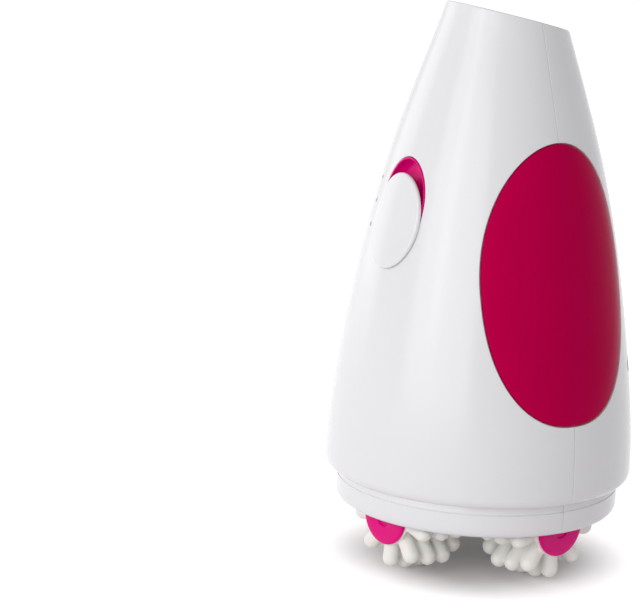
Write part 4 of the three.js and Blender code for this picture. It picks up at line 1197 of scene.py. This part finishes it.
piece(shell(-1), "shell_front", "housing", "white_plastic", "front_shell")
piece(shell(1), "shell_rear", "housing", "white_plastic", "rear_shell")
piece(grip_pad(1), "pad_right", "housing", "magenta_grip", "grip_pad_right")
piece(grip_pad(-1), "pad_left", "housing", "magenta_grip", "grip_pad_left")
piece(top_cap(), "cap_top", "housing", "white_plastic", "top_cap")
piece(power_jack(), "inlet", "housing", "black_plastic", "power_jack")
piece(switch_dish(), "dish", "housing", "magenta_plastic", "switch_dish")
piece(switch_cap(), "slide_cap", "switch", "white_plastic", "switch_cap")
four_copies(roller_form(), "kneading_roller", "roller_{}", "ivory_plastic", "roller_{}")
four_copies(roller_cap_form(), "end_cap", "roller_{}", "magenta_plastic", "roller_cap_{}")
four_copies(axle_screw_form(), "end_screw", "head", "dark_screws", "axle_screw_{}")
piece(carrier(), "carrier", "head", "inner_white", "roller_carrier")
piece(shaft_screw(), "hub_screw", "head", "dark_screws", "shaft_screw")


# Camera
def add_camera():
    """The photograph's camera, turned so that its aim lies at the aim's pixel."""
    straight = (CAMERA_AIM - CAMERA_PLACE).normalized()
    level_right = straight.cross(Vector((0, 0, 1))).normalized()
    level_up = level_right.cross(straight)
    right = math.cos(CAMERA_ROLL) * level_right + math.sin(CAMERA_ROLL) * level_up
    up = -math.sin(CAMERA_ROLL) * level_right + math.cos(CAMERA_ROLL) * level_up
    aside = (AIM_PIXEL[0] - IMAGE_WIDTH / 2) / FOCAL
    above = (IMAGE_HEIGHT / 2 - AIM_PIXEL[1]) / FOCAL
    forward = (straight - aside * right - above * up).normalized()
    right = (right - right.dot(forward) * forward).normalized()
    up = right.cross(forward)
    camera = bpy.data.objects.new("camera", bpy.data.cameras.new("camera"))
    bpy.context.scene.collection.objects.link(camera)
    turn = Matrix((right, up, -forward)).transposed().to_4x4()
    camera.matrix_world = Matrix.Translation((CAMERA_PLACE + Vector((0, 0, RIM_HEIGHT))) * MM) @ turn
    camera.data.sensor_width = SENSOR
    camera.data.lens = FOCAL * SENSOR / IMAGE_WIDTH
    bpy.context.scene.camera = camera


add_camera()


# Ground and light
def add_lamp(name, place, size, power):
    lamp = bpy.data.lights.new(name, "AREA")
    lamp.shape = "RECTANGLE"
    lamp.size, lamp.size_y = size
    lamp.energy = power
    obj = bpy.data.objects.new(name, lamp)
    bpy.context.scene.collection.objects.link(obj)
    direction = Vector(LAMP_AIM) - Vector(place)
    obj.matrix_world = Matrix.Translation(place) @ direction.to_track_quat("-Z", "Y").to_matrix().to_4x4()


def seen_rays(tree):
    """A socket that is 1 for what the camera sees, straight or in a mirror or through glass."""
    rays = add_node(tree, "LightPath").outputs
    total = rays["Is Camera Ray"]
    for kind in ("Is Glossy Ray", "Is Transmission Ray"):
        total = add_node(tree, "Math", {0: total, 1: rays[kind]}, operation="MAXIMUM").outputs[0]
    return total


def add_ground():
    """White paper. To the camera it glows a little, a painted brightening, but not under the body, where
    this leaves a painted shadow.
    """
    corners = [(x * GROUND_REACH, y * GROUND_REACH, -RIM_HEIGHT)
               for x, y in ((-1, -1), (1, -1), (1, 1), (-1, 1))]
    ground = mesh_object("ground", corners, [(0, 1, 2, 3)])
    paper = material("paper", *PAPER)
    tree = paper.node_tree
    shader = tree.nodes["Principled BSDF"]
    place = add_node(tree, "TexCoord").outputs["Object"]
    away = add_node(tree, "VectorMath", {0: place}, operation="LENGTH")
    # The glow is painted light; where it fades out under the body it paints a shadow there
    painted_glow = add_node(tree, "MapRange", {
        "Value": away.outputs["Value"],
        "From Min": FLOOR_PAINTED_SHADOW_PLACES[0], "From Max": FLOOR_PAINTED_SHADOW_PLACES[1],
        "To Min": FLOOR_PAINTED_GLOW[0], "To Max": FLOOR_PAINTED_GLOW[1]}, interpolation_type="SMOOTHSTEP")
    seen = add_node(tree, "Math", {0: painted_glow.outputs["Result"], 1: seen_rays(tree)}, operation="MULTIPLY")
    shader.inputs["Emission Color"].default_value = WHITE
    tree.links.new(seen.outputs[0], shader.inputs["Emission Strength"])
    # The paper is clear from below, so that the rollers can be looked at from there
    sides = add_node(tree, "MixShader", {
        "Fac": add_node(tree, "NewGeometry").outputs["Backfacing"],
        1: shader.outputs["BSDF"],
        2: add_node(tree, "BsdfTransparent").outputs["BSDF"]})
    tree.links.new(sides.outputs["Shader"], tree.nodes["Material Output"].inputs["Surface"])
    ground.data.materials.append(paper)


def add_world():
    """White to the camera and in what the pieces mirror, and a softer light on them."""
    world = bpy.data.worlds.new("studio")
    bpy.context.scene.world = world
    world.use_nodes = True
    tree = world.node_tree
    background = tree.nodes["Background"]
    background.inputs["Color"].default_value = WHITE
    strength = add_node(tree, "MapRange", {"Value": seen_rays(tree), "To Min": SKY_STRENGTH, "To Max": 1})
    tree.links.new(strength.outputs["Result"], background.inputs["Strength"])


add_ground()
add_world()
for lamp_name, lamp in LAMPS.items():
    add_lamp(lamp_name, *lamp)
bpy.context.scene.view_settings.view_transform = "Standard"
